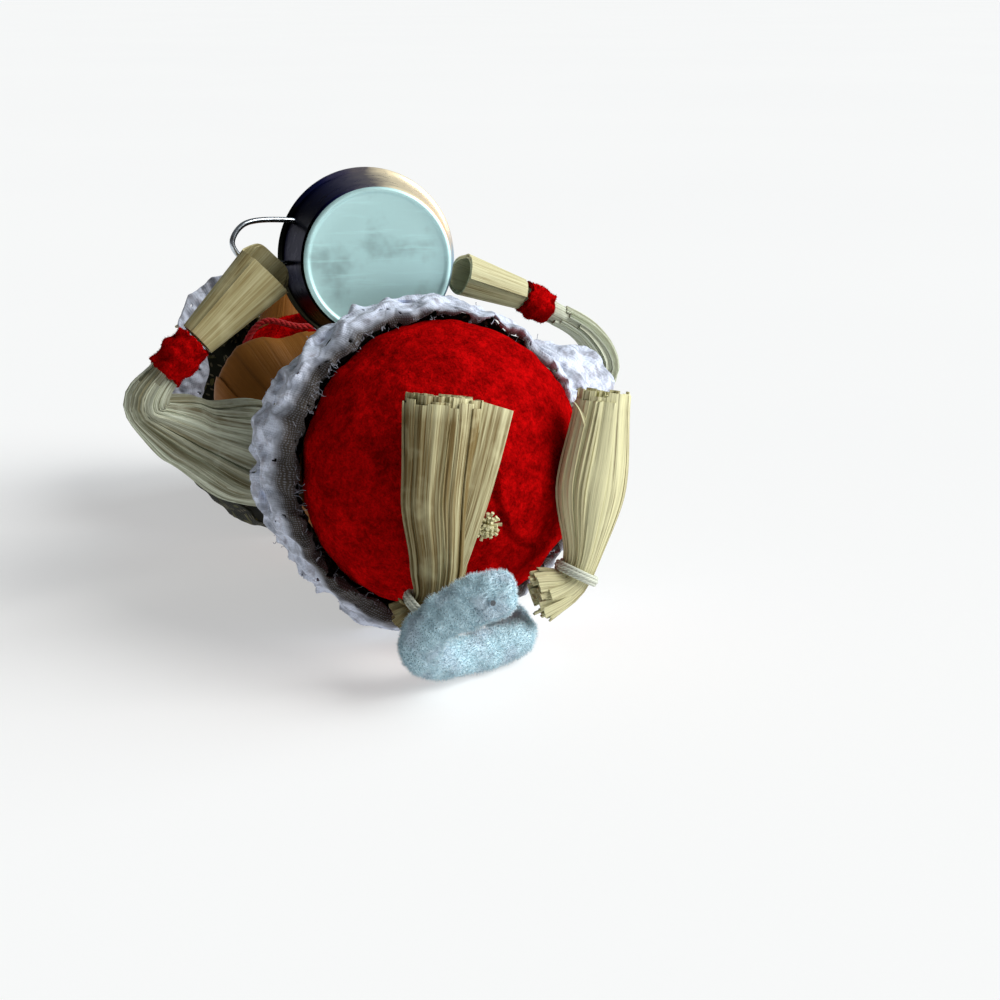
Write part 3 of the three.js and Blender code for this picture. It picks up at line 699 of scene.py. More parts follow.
def calico_finish(colours):
    """Dark printed cotton: olive leaves and pale sprigs scattered over a plain weave."""
    finish = Finish("dark_calico", {"Specular IOR Level": 0.15, "Roughness": 0.92, "Sheen Weight": 0.1})
    place = finish.cloth_place()
    cloth = finish.noise(place, 0.3, 3.0)
    colour = finish.blend(shaded(tuple(colours.calico), 0.7), shaded(tuple(colours.calico), 1.5), cloth)
    # The leaves and the sprigs: how close they are, their half length and breadth in mm, and their ink.
    prints = ((0.24, 1.7, 0.62, tuple(colours.leaf)), (0.42, 0.75, 0.34, tuple(colours.sprig)))
    for scale, long, broad, ink in prints:
        values = {"Vector": finish.spread(place, (1.0, 1.0, 0.0)), "Scale": scale, "Randomness": 0.85}
        settings = {"voronoi_dimensions": "2D", "feature": "F1"}
        middle = finish.node("ShaderNodeTexVoronoi", settings, values, output=2)
        chance = finish.node("ShaderNodeTexVoronoi", settings, values, output=1)
        pick = finish.node("ShaderNodeSeparateColor", None, {0: chance}, output=0)
        away = finish.node("ShaderNodeVectorMath", {"operation": "SUBTRACT"}, {0: place, 1: middle})
        turned = finish.node("ShaderNodeVectorRotate", {"rotation_type": "Z_AXIS"},
                             {"Vector": away, "Angle": pick * PHASES[1]})
        length = finish.node("ShaderNodeSeparateXYZ", None, {0: turned}, output=0)
        width = finish.node("ShaderNodeSeparateXYZ", None, {0: turned}, output=1)
        inside = 1.0 - (length * (1 / long)) ** 2.0 - width.size() * (1 / broad)
        leaf = inside.eased(0.0, 0.22) * (width.size().eased(0.02, 0.09) * 0.7 + 0.3)
        share = finish.node("ShaderNodeSeparateColor", None, {0: chance}, output=1)
        tint = finish.blend(ink, shaded(ink, 0.45), share)
        colour = finish.blend(colour, tint, leaf * share.over(0.25) * 0.9)
    weave = finish.wave(place, "X", 0.9, 1.2)
    weft = finish.wave(place, "Y", 0.9, 1.2)
    finish.colour(colour)
    finish.bump(weave * 0.5 + weft * 0.5 + cloth * 0.4, 0.12, 0.6)
    return finish.material


def lace_finish(colours):
    """Washed cotton lace: white to lilac grey, with a coarse thread weave, random dust, painted shade along
    its creases and between its threads, and a brown painted shade, partly dirt, where its tone is low.
    """
    finish = Finish("white_lace", {"Specular IOR Level": 0.2, "Roughness": 0.9, "Sheen Weight": 0.15})
    white = tuple(colours.lace)
    place = finish.cloth_place()
    warp = finish.wave(place, "X", 0.75, 5.0, 2.0)
    weft = finish.wave(place, "Y", 0.75, 5.0, 2.0)
    threads = warp * 0.5 + weft * 0.5
    dust = finish.noise(finish.place(), 0.5, 4.0)
    creases = (finish.noise(finish.place(), 0.2, 2.0) - 0.5).size() * 5.0
    grey = screen(128, 120, 128)
    colour = finish.blend(white, grey, dust.eased(0.46, 0.7) * 0.65)
    # Painted shade along the creases.
    colour = finish.blend(shaded(white, 0.5), colour, creases.eased(-0.1, 0.4))
    # Brown painted shade, partly dirt, where the tone attribute is low.
    colour = finish.blend(screen(62, 56, 50), colour, finish.tone().eased(0.0, 1.0))
    # Painted shade between the threads.
    finish.colour(finish.blend(colour, shaded(white, 0.5), (1.0 - threads).eased(0.5, 0.9) * 0.3))
    finish.bump(threads * 0.3 + dust * 0.4 + creases, 0.28, 0.7)
    return finish.material


def chenille_finish(colours):
    """White chenille pile with a cool blue tint, partly painted skylight, and painted shade between its
    tufts.
    """
    finish = Finish("white_chenille", {"Roughness": 0.95, "Specular IOR Level": 0.1, "Sheen Weight": 0.4,
                                       "Sheen Roughness": 0.5})
    white = tuple(colours.chenille)
    place = finish.place()
    tufts = finish.noise(place, 1.5, 3.0)
    clouds = finish.noise(place, 0.22, 2.0)
    colour = finish.blend(white, screen(206, 226, 238), clouds.eased(0.42, 0.68))
    # Painted shade between the tufts.
    finish.colour(finish.blend(colour, shaded(white, 0.5), (1.0 - tufts).eased(0.56, 0.74) * 0.25))
    finish.bump(tufts, 0.3, 0.5)
    return finish.material


def tin_wall_finish(colours):
    """The cup's polished wall, with painted reflections and highlights in bands of blue, dark brown and pale
    gold round it.
    """
    finish = Finish("polished_tin", {"Specular Tint": (0.25, 0.25, 0.3, 1.0)})
    tin = tuple(colours.tin)
    place = finish.cloth_place((1.0, 1.0, 0.0))
    scuffs = finish.noise(finish.place(), 0.4, 4.0)
    around = finish.node("ShaderNodeSeparateXYZ", None, {0: place}, output=0)
    reflection_band = around + (scuffs - 0.5) * 0.06
    # Painted reflections by the angle round the cup: a pale gold highlight near the top, dark on the far side
    # and blue near the end of the turn; scuffs blur the bands.
    finish.colour(finish.ramp(reflection_band, [
        (0.0, screen(118, 112, 116)), (0.05, screen(255, 240, 204)), (0.11, screen(246, 226, 190)),
        (0.19, screen(250, 214, 170)), (0.26, screen(150, 180, 200)), (0.38, shaded(tin, 0.3)),
        (0.5, screen(116, 116, 104)), (0.62, screen(48, 46, 36)), (0.74, screen(24, 26, 20)),
        (0.84, screen(20, 22, 22)), (0.92, screen(42, 48, 110)), (1.0, screen(118, 112, 116)),
    ]))
    # Less metallic at the ends of the band, round the painted highlight near the top, so the base colour
    # there shows bright.
    finish.metal(reflection_band.eased(0.22, 0.34) * (1.0 - reflection_band.eased(0.88, 1.0)) * 0.65 + 0.35)
    finish.rough(0.22 + scuffs * 0.14)
    finish.bump(scuffs, 0.05, 0.2)
    return finish.material


def tin_foot_finish(colours):
    """The cup's dull bottom: pale, brushed and smudged, its cyan tint a painted reflection of the sky."""
    finish = Finish("brushed_tin", {"Metallic": 0.5})
    tin = tuple(colours.tin)
    brushed = finish.noise(finish.place((260.0, 900.0, 3200.0)), 0.35, 3.0)
    smudge = finish.noise(finish.place(), 0.09, 4.0)
    scratch = finish.noise(finish.place((1800.0, 500.0, 300.0)), 1.0, 2.0)
    colour = finish.blend(tin, shaded(tin, 0.6), smudge.eased(0.5, 0.72))
    finish.colour(finish.blend(colour, shaded(tin, 1.15), brushed.eased(0.52, 0.75) * 0.5))
    finish.rough(0.4 + smudge * 0.25)
    finish.bump(brushed * 0.5 + scratch * 0.4, 0.05, 0.35)
    return finish.material


def wire_finish():
    """Bright bent wire, a little tarnished."""
    finish = Finish("bright_wire", {"Metallic": 1.0})
    tarnish = finish.noise(finish.place(), 0.7, 4.0)
    finish.colour(finish.blend(screen(205, 214, 222), screen(96, 84, 70), tarnish.eased(0.45, 0.8)))
    finish.rough(0.16 + tarnish * 0.2)
    finish.bump(tarnish, 0.04, 0.3)
    return finish.material


def thread_finish(name, colour, pace):
    """Twisted thread or cord: slanted strands, soft wear and painted shade in the grooves between the
    strands.
    """
    finish = Finish(name, {"Specular IOR Level": 0.25, "Roughness": 0.8, "Sheen Weight": 0.1})
    strand = finish.wave(finish.cloth_place(), "DIAGONAL", pace, 1.0)
    wear = finish.noise(finish.place(), 0.9, 3.0)
    worn = finish.blend(shaded(colour, 0.75), shaded(colour, 1.12), wear)
    # Painted shade in the grooves between the strands.
    finish.colour(finish.blend(worn, shaded(colour, 0.5), (1.0 - strand).eased(0.55, 0.95) * 0.4))
    finish.bump(strand + wear * 0.3, 0.15, 0.6)
    return finish.material


def bead_finish(colours):
    """Black glass beads with faint dust."""
    finish = Finish("black_bead", {"Coat Weight": 0.4, "Specular IOR Level": 0.6})
    dust = finish.noise(finish.place(), 1.4, 4.0)
    finish.colour(finish.blend(tuple(colours.bead), screen(60, 58, 58), dust.eased(0.55, 0.8) * 0.4))
    finish.rough(0.12 + dust.eased(0.5, 0.8) * 0.25)
    return finish.material


def finish_named(name):
    """The material of that name, made on first use from the colours in the sidebar.

    No name is one of the record's slots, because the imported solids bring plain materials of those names."""
    found = bpy.data.materials.get(name)
    if found:
        return found
    colours = bpy.context.scene.mouse_colours
    makers = {
        "plush_felt": lambda: felt_finish(colours),
        "dry_husk": lambda: husk_finish("dry_husk", tuple(colours.husk), screen(112, 92, 50),
                                        screen(80, 60, 30), 0.12),
        "rolled_husk": lambda: husk_finish("rolled_husk", shaded(tuple(colours.husk), 0.9),
                                           screen(160, 146, 100), screen(120, 102, 62), 0.15),
        "pleated_husk": lambda: husk_finish("pleated_husk", tuple(colours.pale_husk), screen(138, 134, 106),
                                            screen(100, 88, 58), 0.18),
        "smooth_husk": lambda: husk_finish("smooth_husk", tuple(colours.tan_husk), screen(138, 86, 31),
                                           screen(122, 76, 28), 0.15),
        "dark_calico": lambda: calico_finish(colours),
        "white_lace": lambda: lace_finish(colours),
        "white_chenille": lambda: chenille_finish(colours),
        "polished_tin": lambda: tin_wall_finish(colours),
        "brushed_tin": lambda: tin_foot_finish(colours),
        "bright_wire": wire_finish,
        "pale_string": lambda: thread_finish("pale_string", tuple(colours.string), 0.9),
        "red_cord": lambda: thread_finish("red_cord", tuple(colours.cord), 1.3),
        "black_bead": lambda: bead_finish(colours),
    }
    return makers[name]()


class MouseSizes(bpy.types.PropertyGroup):
    """Thicknesses and hair lengths of the mouse's pieces"""

    felt_nap: FloatProperty(name="Felt nap", description="Length of the felt's hairs",
                            default=0.001, min=0.0001, max=0.002, unit="LENGTH", precision=5)
    chenille_pile: FloatProperty(name="Chenille pile", description="Length of the hairs on the tail",
                                 default=0.0008, min=0.0002, max=0.003, unit="LENGTH", precision=5)
    husk: FloatProperty(name="Husk", description="Thickness of one husk strip",
                        default=0.00024, min=0.0001, max=0.001, unit="LENGTH", precision=5)
    calico: FloatProperty(name="Calico", description="Thickness of the printed cloth",
                          default=0.00035, min=0.0001, max=0.001, unit="LENGTH", precision=5)
    lace: FloatProperty(name="Lace", description="Thickness of the lace",
                        default=0.0003, min=0.0001, max=0.001, unit="LENGTH", precision=5)
    cord: FloatProperty(name="Cord", description="Diameter of the red cord at the neck",
                        default=0.0013, min=0.0004, max=0.002, unit="LENGTH", precision=5)


def tint(name, description, colour):
    return FloatVectorProperty(name=name, description=description, subtype="COLOR", size=3, min=0, max=1,
                               default=colour)


class MouseColours(bpy.types.PropertyGroup):
    """Main colours of the mouse's materials"""

    felt: tint("Felt", "Red felt of the body, cuffs and scarf", screen(158, 5, 6))
    husk: tint("Husk", "Dry husk of the hands, feet and ears", screen(226, 222, 178))
    pale_husk: tint("Pale husk", "Greenish white husk of the sleeves", screen(232, 240, 220))
    tan_husk: tint("Tan husk", "Brown husk of the bodice and head", screen(152, 95, 35))
    calico: tint("Calico", "Ground of the printed cloth", screen(34, 36, 26))
    leaf: tint("Leaf", "Larger leaves of the print", screen(112, 110, 62))
    sprig: tint("Sprig", "Small sprigs of the print", screen(164, 154, 126))
    lace: tint("Lace", "Hem and bonnet lace", screen(221, 229, 247))
    # The chenille's blue tint is partly painted skylight.
    chenille: tint("Chenille", "Tail pile", screen(206, 234, 244))
    # The tin's pale cyan is a painted reflection of the sky over its own pale grey.
    tin: tint("Tin", "Bottom of the cup", screen(208, 248, 248))
    string: tint("String", "Ties of the feet", screen(216, 220, 204))
    cord: tint("Cord", "Cord at the neck", screen(176, 14, 16))
    bead: tint("Bead", "Eyes and nose", screen(14, 13, 13))


def skirt_radius(z):
    """The skirt's radius at a height above its hem."""
    up = np.clip(z / SKIRT["height"], 0, 1)
    return mixed(SKIRT["waist"], SKIRT["hem"], (1 - up) ** SKIRT["taper"])


def hem_shape(angle):
    """The hem's radius beside a round one's: pressed flatter in front, drawn in behind its right side."""
    turn = turn_from(angle, HEM_SHAPE["dent_angle"])
    pressed = HEM_SHAPE["front"] * np.maximum(-np.sin(angle), 0)
    return 1 - pressed - HEM_SHAPE["dent"] * np.exp(-(turn / HEM_SHAPE["dent_width"]) ** 2)


def skirt_middle(z):
    """How far the skirt's middle drops to the back at a height above its hem."""
    return SKIRT["drop"] * np.clip(z / SKIRT["height"], 0, 1)


def dome_scaled(points, gap):
    """Places measured against the felt dome: under 1 is inside it, grown by a gap."""
    middle = np.array((BODY["x"], BODY["y"], BODY["rim"]))
    reach = np.array((BODY["radius"] + gap, BODY["radius"] + gap, BODY["depth"] + gap))
    return (points - middle) / reach, middle, reach


def clear_of_dome(points, gap):
    """Moves points that are in the felt dome out to its surface."""
    local, middle, reach = dome_scaled(points, gap)
    size = np.maximum(np.linalg.norm(local, axis=-1, keepdims=True), 1e-6)
    return np.where((size < 1) & (points[..., 2:] < BODY["rim"]), middle + local / size * reach, points)


def bodice_radius(angle, z):
    """The bodice's radius, puffed out on its right front."""
    turn = turn_from(angle, PUFF["angle"])
    return eased(BODICE_RADIUS, z) + eased(PUFF["reach"], z) * np.exp(-(turn / PUFF["width"]) ** 4)


def clear_of_table(points, lift):
    """Keeps points on or above the table."""
    result = points.copy()
    result[..., 1] = np.minimum(points[..., 1], table_y(points[..., 2]) - lift)
    return result


def husk_strip(path, wide, high, angle, half, share, span, rng, columns=9, rows=30, lift=0.04, ridge=0.09,
               crinkle=0.0, sway=0.05):
    """Corners and UVs of one husk strip that lies along a bundle."""
    along = np.linspace(span[0], span[1], rows)
    across = np.linspace(-1, 1, columns)
    drift = angle + sway * np.sin(along * rng.uniform(3, 6) + rng.uniform(*PHASES))
    turned = drift[:, None] + half * across[None, :]
    ridges = rng.normal(0, ridge, columns)[None, :]
    fray = crinkle * smoothstep(along, 0.72, 1.0)[:, None]
    ridges = ridges + fray * np.sin(across[None, :] * rng.uniform(5, 9) + rng.uniform(*PHASES))
    scale = share * (1 + lift * across[None, :] * rng.choice((-1, 1)))
    point, side, rise = path.frames(along)
    level = eased(wide, along)[:, None] * scale + ridges
    upright = eased(high, along)[:, None] * scale + ridges
    points = ringed(point[:, None], side, rise, level, upright, turned)
    middle = eased(wide, np.array(0.6)) * half
    uv = together(across[None, :] * middle + rng.uniform(0, 400),
                  along[:, None] * path.length)
    return points, uv


class MouseOperator:
    """What the mouse's operators share."""

    bl_options = {"REGISTER", "UNDO"}


class MOUSE_OT_stage(MouseOperator, bpy.types.Operator):
    """Makes the camera, the pale floor and the soft light"""

    bl_idname = "mouse.stage"
    bl_label = "Stage"

    def execute(self, context):
        scene = context.scene
        turn, tilt = math.radians(CAMERA["azimuth"]), math.radians(CAMERA["elevation"])
        back = np.array((-math.sin(turn) * math.cos(tilt), -math.cos(turn) * math.cos(tilt), math.sin(tilt)))
        right = unit(np.cross(-back, UP))
        over = np.cross(right, -back)
        across = (CAMERA["hem"][0] - PHOTO_SIDE / 2) / CAMERA["focal"]
        down = (PHOTO_SIDE / 2 - CAMERA["hem"][1]) / CAMERA["focal"]
        hem = lay((0, 0, 0))
        eye = hem - MM * CAMERA["distance"] * (-back + across * right + down * over)
        data = bpy.data.cameras.new("photo_camera")
        data.sensor_width = SENSOR
        data.lens = CAMERA["focal"] / PHOTO_SIDE * SENSOR
        data.clip_start = 0.01
        camera = bpy.data.objects.new("photo_camera", data)
        camera.location = Vector(eye)
        camera.rotation_euler = Vector(-back).to_track_quat("-Z", "Y").to_euler()
        scene.collection.objects.link(camera)
        scene.camera = camera
        scene.view_settings.view_transform = "Standard"

        mesh = bpy.data.meshes.new("floor")
        around = full_turn(FLOOR["corners"])
        edge = [(FLOOR["radius"] * math.cos(a), FLOOR["radius"] * math.sin(a), 0.0) for a in around]
        mesh.from_pydata(edge, [], [list(range(FLOOR["corners"]))])
        finish = Finish("pale_floor", {"Roughness": 0.9, "Specular IOR Level": 0.1,
                                       "Emission Strength": FLOOR["glow"],
                                       "Emission Color": (1.0, 1.0, 1.0, 1.0)})
        cast = finish.noise(finish.place((3.0, 3.0, 3.0)), 1.0, 2.0)
        finish.colour(finish.blend(screen(182, 182, 182), screen(187, 187, 186), cast))
        floor = linked("floor", mesh, finish.material)

        for name, (strength, spread, colour, way) in LIGHTS.items():
            sun = bpy.data.lights.new(name, "SUN")
            sun.energy = strength
            sun.angle = math.radians(spread)
            sun.color = colour
            lamp = bpy.data.objects.new(name, sun)
            lamp.rotation_euler = Vector(way).to_track_quat("-Z", "Y").to_euler()
            scene.collection.objects.link(lamp)
        world = bpy.data.worlds.new("studio")
        world.use_nodes = True
        sky = next(node for node in world.node_tree.nodes if node.type == "BACKGROUND")
        sky.inputs["Color"].default_value = SKY["colour"]
        sky.inputs["Strength"].default_value = SKY["strength"]
        scene.world = world
        return {"FINISHED"}


class MOUSE_OT_neck_cord(MouseOperator, bpy.types.Operator):
    """Makes the thin twisted cord that hangs across the chest"""

    bl_idname = "mouse.neck_cord"
    bl_label = "Neck Cord"

    def execute(self, context):
        diameter = context.scene.mouse_sizes.cord
        path = Path(NECK_CORD)
        line = path.point(np.linspace(0, 1, 160))
        side, rise = turning_frames(line)
        skin = Skin()
        radius = millimetres(diameter) / 2
        turns = np.linspace(0, TAU * path.length / CORD_LAY, 160)[:, None]
        for start in (0, TAU / 3, 2 * TAU / 3):
            strand = line + 0.42 * radius * (side * np.cos(turns + start) + rise * np.sin(turns + start))
            skin.rope(strand, radius * 0.58, 8)
        piece = skin.piece("twisted_neck_cord", "red_cord")
        kept(piece, "red_felt", "neck_cord")
        route = lay(line[::4])
        return {"FINISHED"}


class MOUSE_OT_felt_body(MouseOperator, bpy.types.Operator):
    """Makes the stuffed felt body with its lapped seam and its nap"""

    bl_idname = "mouse.felt_body"
    bl_label = "Felt Body"

    def execute(self, context):
        sizes = context.scene.mouse_sizes
        columns = 220
        down = np.linspace(0, math.pi / 2, 72)
        radius = BODY["radius"] * np.sin(down)
        height = BODY["rim"] - BODY["depth"] * np.cos(down)
        inside = np.linspace(BODY["rim"], BODY["top"] - 1.5, 22)[1:]
        waist = np.interp(inside, *zip(*BODY_WAIST))
        radius = np.concatenate([radius, waist, [5.0, 0.0]])
        height = np.concatenate([height, inside, [BODY["top"] - 0.4, BODY["top"]]])
        angle = full_turn(columns)
        stay = 1 - smoothstep(height, BODY["rim"], BODY["top"])
        points = together(
            radius[:, None] * np.cos(angle) + (BODY["x"] * stay)[:, None],
            radius[:, None] * np.sin(angle) + (BODY["y"] * stay + skirt_middle(height))[:, None],
            height[:, None])
        local, _, reach = dome_scaled(points, 0.0)
        out = unit(local / reach)
        swell = 0.22 * lumps(points, 11, 3) + 0.1 * lumps(points, 4.6, 4) + 0.06 * lumps(points, 2.2, 5) - 0.3
        swell += self.seam(points[..., :2])
        open_felt = smoothstep(points[..., 2], 4.0, 0.0)
        points = points + out * (swell * open_felt)[..., None]
        uv = together(np.linspace(0, 150, columns + 1)[None, :],
                      np.linspace(0, 75, len(radius))[:, None])
        skin = Skin()
        skin.grid(points[:, ::-1], uv, around=True, nap=open_felt)
        piece = skin.piece("stuffed_felt_body", "plush_felt", sharp=120)
        napped(piece, per_mm2=8.6, length=millimetres(sizes.felt_nap), radius=0.062, lean=1.0, seed=11)
        kept(piece, "red_felt", "red_body")
        return {"FINISHED"}

    def seam(self, flat):
        """How far the lapped edge of the felt raises the dome."""
        edge = np.array(SEAM)
        nearest = np.full(flat.shape[:-1], 1e9)
        side = np.zeros(flat.shape[:-1])
        for start, end in zip(edge, edge[1:]):
            run = end - start
            share = np.clip(((flat - start) @ run) / (run @ run), 0, 1)
            away = flat - (start + share[..., None] * run)
            far = np.linalg.norm(away, axis=-1)
            turn = run[0] * (flat[..., 1] - start[1]) - run[1] * (flat[..., 0] - start[0])
            side = np.where(far < nearest, np.where(turn < 0, far, -far), side)
            nearest = np.minimum(far, nearest)
        lap = 0.62 * smoothstep(side, -0.25, 0.3) * np.exp(-(side / 7) ** 2)
        return lap - 0.4 * np.exp(-((side + 0.5) / 0.55) ** 2)


class MOUSE_OT_skirt(MouseOperator, bpy.types.Operator):
    """Makes the gathered calico skirt"""

    bl_idname = "mouse.skirt"
    bl_label = "Skirt"

    def execute(self, context):
        sizes = context.scene.mouse_sizes
        columns = 340
        rows = 34
        z = np.linspace(-0.3, SKIRT["height"], rows)[:, None]
        angle = full_turn(columns)[None, :]
        up = np.clip(z / SKIRT["height"], 0, 1)
        slack = SKIRT["slack"] * np.sin(math.pi * up) * np.maximum(np.sin(angle), 0) ** 2
        folds = 0.28 * np.sin(16 * angle) + 0.3 * np.sin(23 * angle + 1.2) * np.sin(5 * angle)
        gathers = 0.3 * up * np.sin(47 * angle + 2 * np.sin(3 * angle))
        drawn_in = skirt_radius(z) * (1 - hem_shape(angle)) * (1 - up)
        radius = skirt_radius(z) - 0.5 + np.minimum(folds * (1 - 0.3 * up) + gathers, 0.45) + slack - drawn_in
        points = together(
            radius * np.cos(angle), radius * np.sin(angle) + skirt_middle(z), z)
        points = points + 0.16 * lumps(points, 6, 21)[..., None] * np.array((1, 1, 0))
        lift = 0.5 + 1.25 * (1 - smoothstep(z, 6.4, 8.9))
        points = clear_of_table(points, lift)
        uv = together(np.linspace(0, TAU, columns + 1)[None, :] * 27.5,
                      np.linspace(0, 42, rows)[:, None])
        skin = Skin()
        skin.grid(points, uv, around=True)
        piece = skin.piece("calico_skirt", "dark_calico")
        thickened(piece, millimetres(sizes.calico))
        kept(piece, "calico", "skirt")
        return {"FINISHED"}


def lace_keep(u, v):
    """Which cells of a lace band are thread: a few eyelets are open."""
    pitch = EYELETS["pitch"]
    row = np.floor(v / pitch)
    shift = u + np.where(row % 2 > 0, pitch / 2, 0)
    column = np.floor(shift / pitch)
    away = np.hypot(shift - (column + 0.5) * pitch, v - (row + 0.5) * pitch)
    chance = np.abs(np.sin(column * 12.9898 + row * 78.233) * 43758.5453) % 1
    return (away > EYELETS["radius"]) | (chance > EYELETS["open"])


def wisps(skin, roots, ways, rng, length, radius):
    """Short curled loose threads."""
    for root, way in zip(roots, ways):
        reach = length * rng.uniform(0.4, 1.3)
        curl = unit(rng.normal(size=3)) * reach * 0.55
        curl_back = unit(rng.normal(size=3)) * reach * 0.4
        line = [root, root + way * reach * 0.35 + curl * 0.3, root + way * reach * 0.7 + curl,
                root + way * reach + curl + curl_back]
        skin.rope(Path(line).point(np.linspace(0, 1, 9)), radius * rng.uniform(0.7, 1.3), 4)


class MOUSE_OT_hem_lace(MouseOperator, bpy.types.Operator):
    """Makes the crumpled lace frill round the hem, with a few eyelets and frayed threads"""

    bl_idname = "mouse.hem_lace"
    bl_label = "Hem Lace"

    def execute(self, context):
        sizes = context.scene.mouse_sizes
        rng = np.random.default_rng(31)
        columns, rows = 600, 46
        angle = full_turn(columns)[None, :]
        section = Path([(radius, 0, z) for radius, z in HEM_LACE])
        across = np.linspace(0, section.length, rows)[:, None]
        radius, _, z = np.moveaxis(section.point(across / section.length), -1, 0)
        loose = smoothstep(across, 3.5, section.length)
        wave = HEM_WAVES["ripple"] * (0.2 + 0.8 * loose) * (1 + np.sin(HEM_WAVES["count"] * angle + 0.8))
        turn = turn_from(angle, HEM_WAVES["wing_angle"])
        wing = HEM_WAVES["wing"] * loose * np.exp(-(turn / HEM_WAVES["wing_width"]) ** 2)
        turned_in = smoothstep(across, 6.2, 2.0)
        spread = radius + wave + wing - radius * (1 - hem_shape(angle)) * (1 - turned_in)
        scallop = 0.9 * smoothstep(across, 8.0, section.length) * np.abs(np.sin(21 * angle)) ** 1.6
        points = together(spread * np.cos(angle) + BODY["x"] * turned_in,
                          spread * np.sin(angle) + BODY["y"] * turned_in, z - scallop)
        out = together(np.cos(angle), np.sin(angle), 0 * z)
        crumple = 0.15 * lumps(points, 4.2, 32) + 0.06 * lumps(points, 1.7, 33)
        crumple -= 1.0 * np.abs(lumps(points, 8.5, 37)) + 0.2 * np.abs(lumps(points, 3.4, 40))
        points = points + out * (crumple * (0.6 + 0.4 * loose))[..., None]
        creases = np.abs(lumps(points, 8.0, 38)) + 0.2 * np.abs(lumps(points, 3.0, 39)) - 0.4
        points[..., 2] += 1.1 * creases + 0.1 * lumps(points, 3.4, 34) + 0.06 * lumps(points, 1.5, 36)
        points = clear_of_table(points, 0.2)
        uv = together(np.linspace(0, 182, columns + 1)[None, :], across)
        middle_u, middle_v = uv[:-1, :-1, 0] + 0.14, uv[:-1, :-1, 1] + 0.14
        keep = lace_keep(middle_u, middle_v)
        edge = np.stack([middle_u, 0 * middle_u, 0 * middle_u], -1)
        ragged = 1.0 + 0.7 * lumps(edge, 2.3, 35) + 0.9 * lumps(edge, 7.0, 41)
        keep &= middle_v > ragged
        # Painted shade, partly dirt: a low tone, and so brown, along the inner flap by the felt, widest on
        # the doll's right back.
        dirt_and_shade_reach = 3.5 + 1.6 * np.cos(angle - 2.7)
        soiled_and_shaded = smoothstep(across - dirt_and_shade_reach, -1.6, 1.8)
        skin = Skin()
        skin.grid(points, uv, tone=soiled_and_shaded, around=True, keep=keep)
        piece = skin.piece("hem_lace_frill", "white_lace")
        thickened(piece, millimetres(sizes.lace))
        threads = Skin()
        count = 260
        at = rng.integers(0, columns, count)
        rise = rng.integers(2, 9, count)
        ways = unit(rng.normal(0, 0.5, (count, 3)) - UP - 0.6 * out[0, at])
        wisps(threads, points[rise, at], ways, rng, 1.1, 0.05)
        tip = rng.integers(0, columns, 90)
        tip = tip[points[-1, tip, 1] < 24]
        wisps(threads, points[-2, tip], unit(UP + 0.6 * out[0, tip]), rng, 0.8, 0.05)
        # The threads keep the default tone of 0.5, so they take half of the lace's brown painted shade.
        fray = threads.piece("hem_lace_fray", "white_lace")
        kept(piece, "lace", "hem_lace")
        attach(fray, "root")
        return {"FINISHED"}


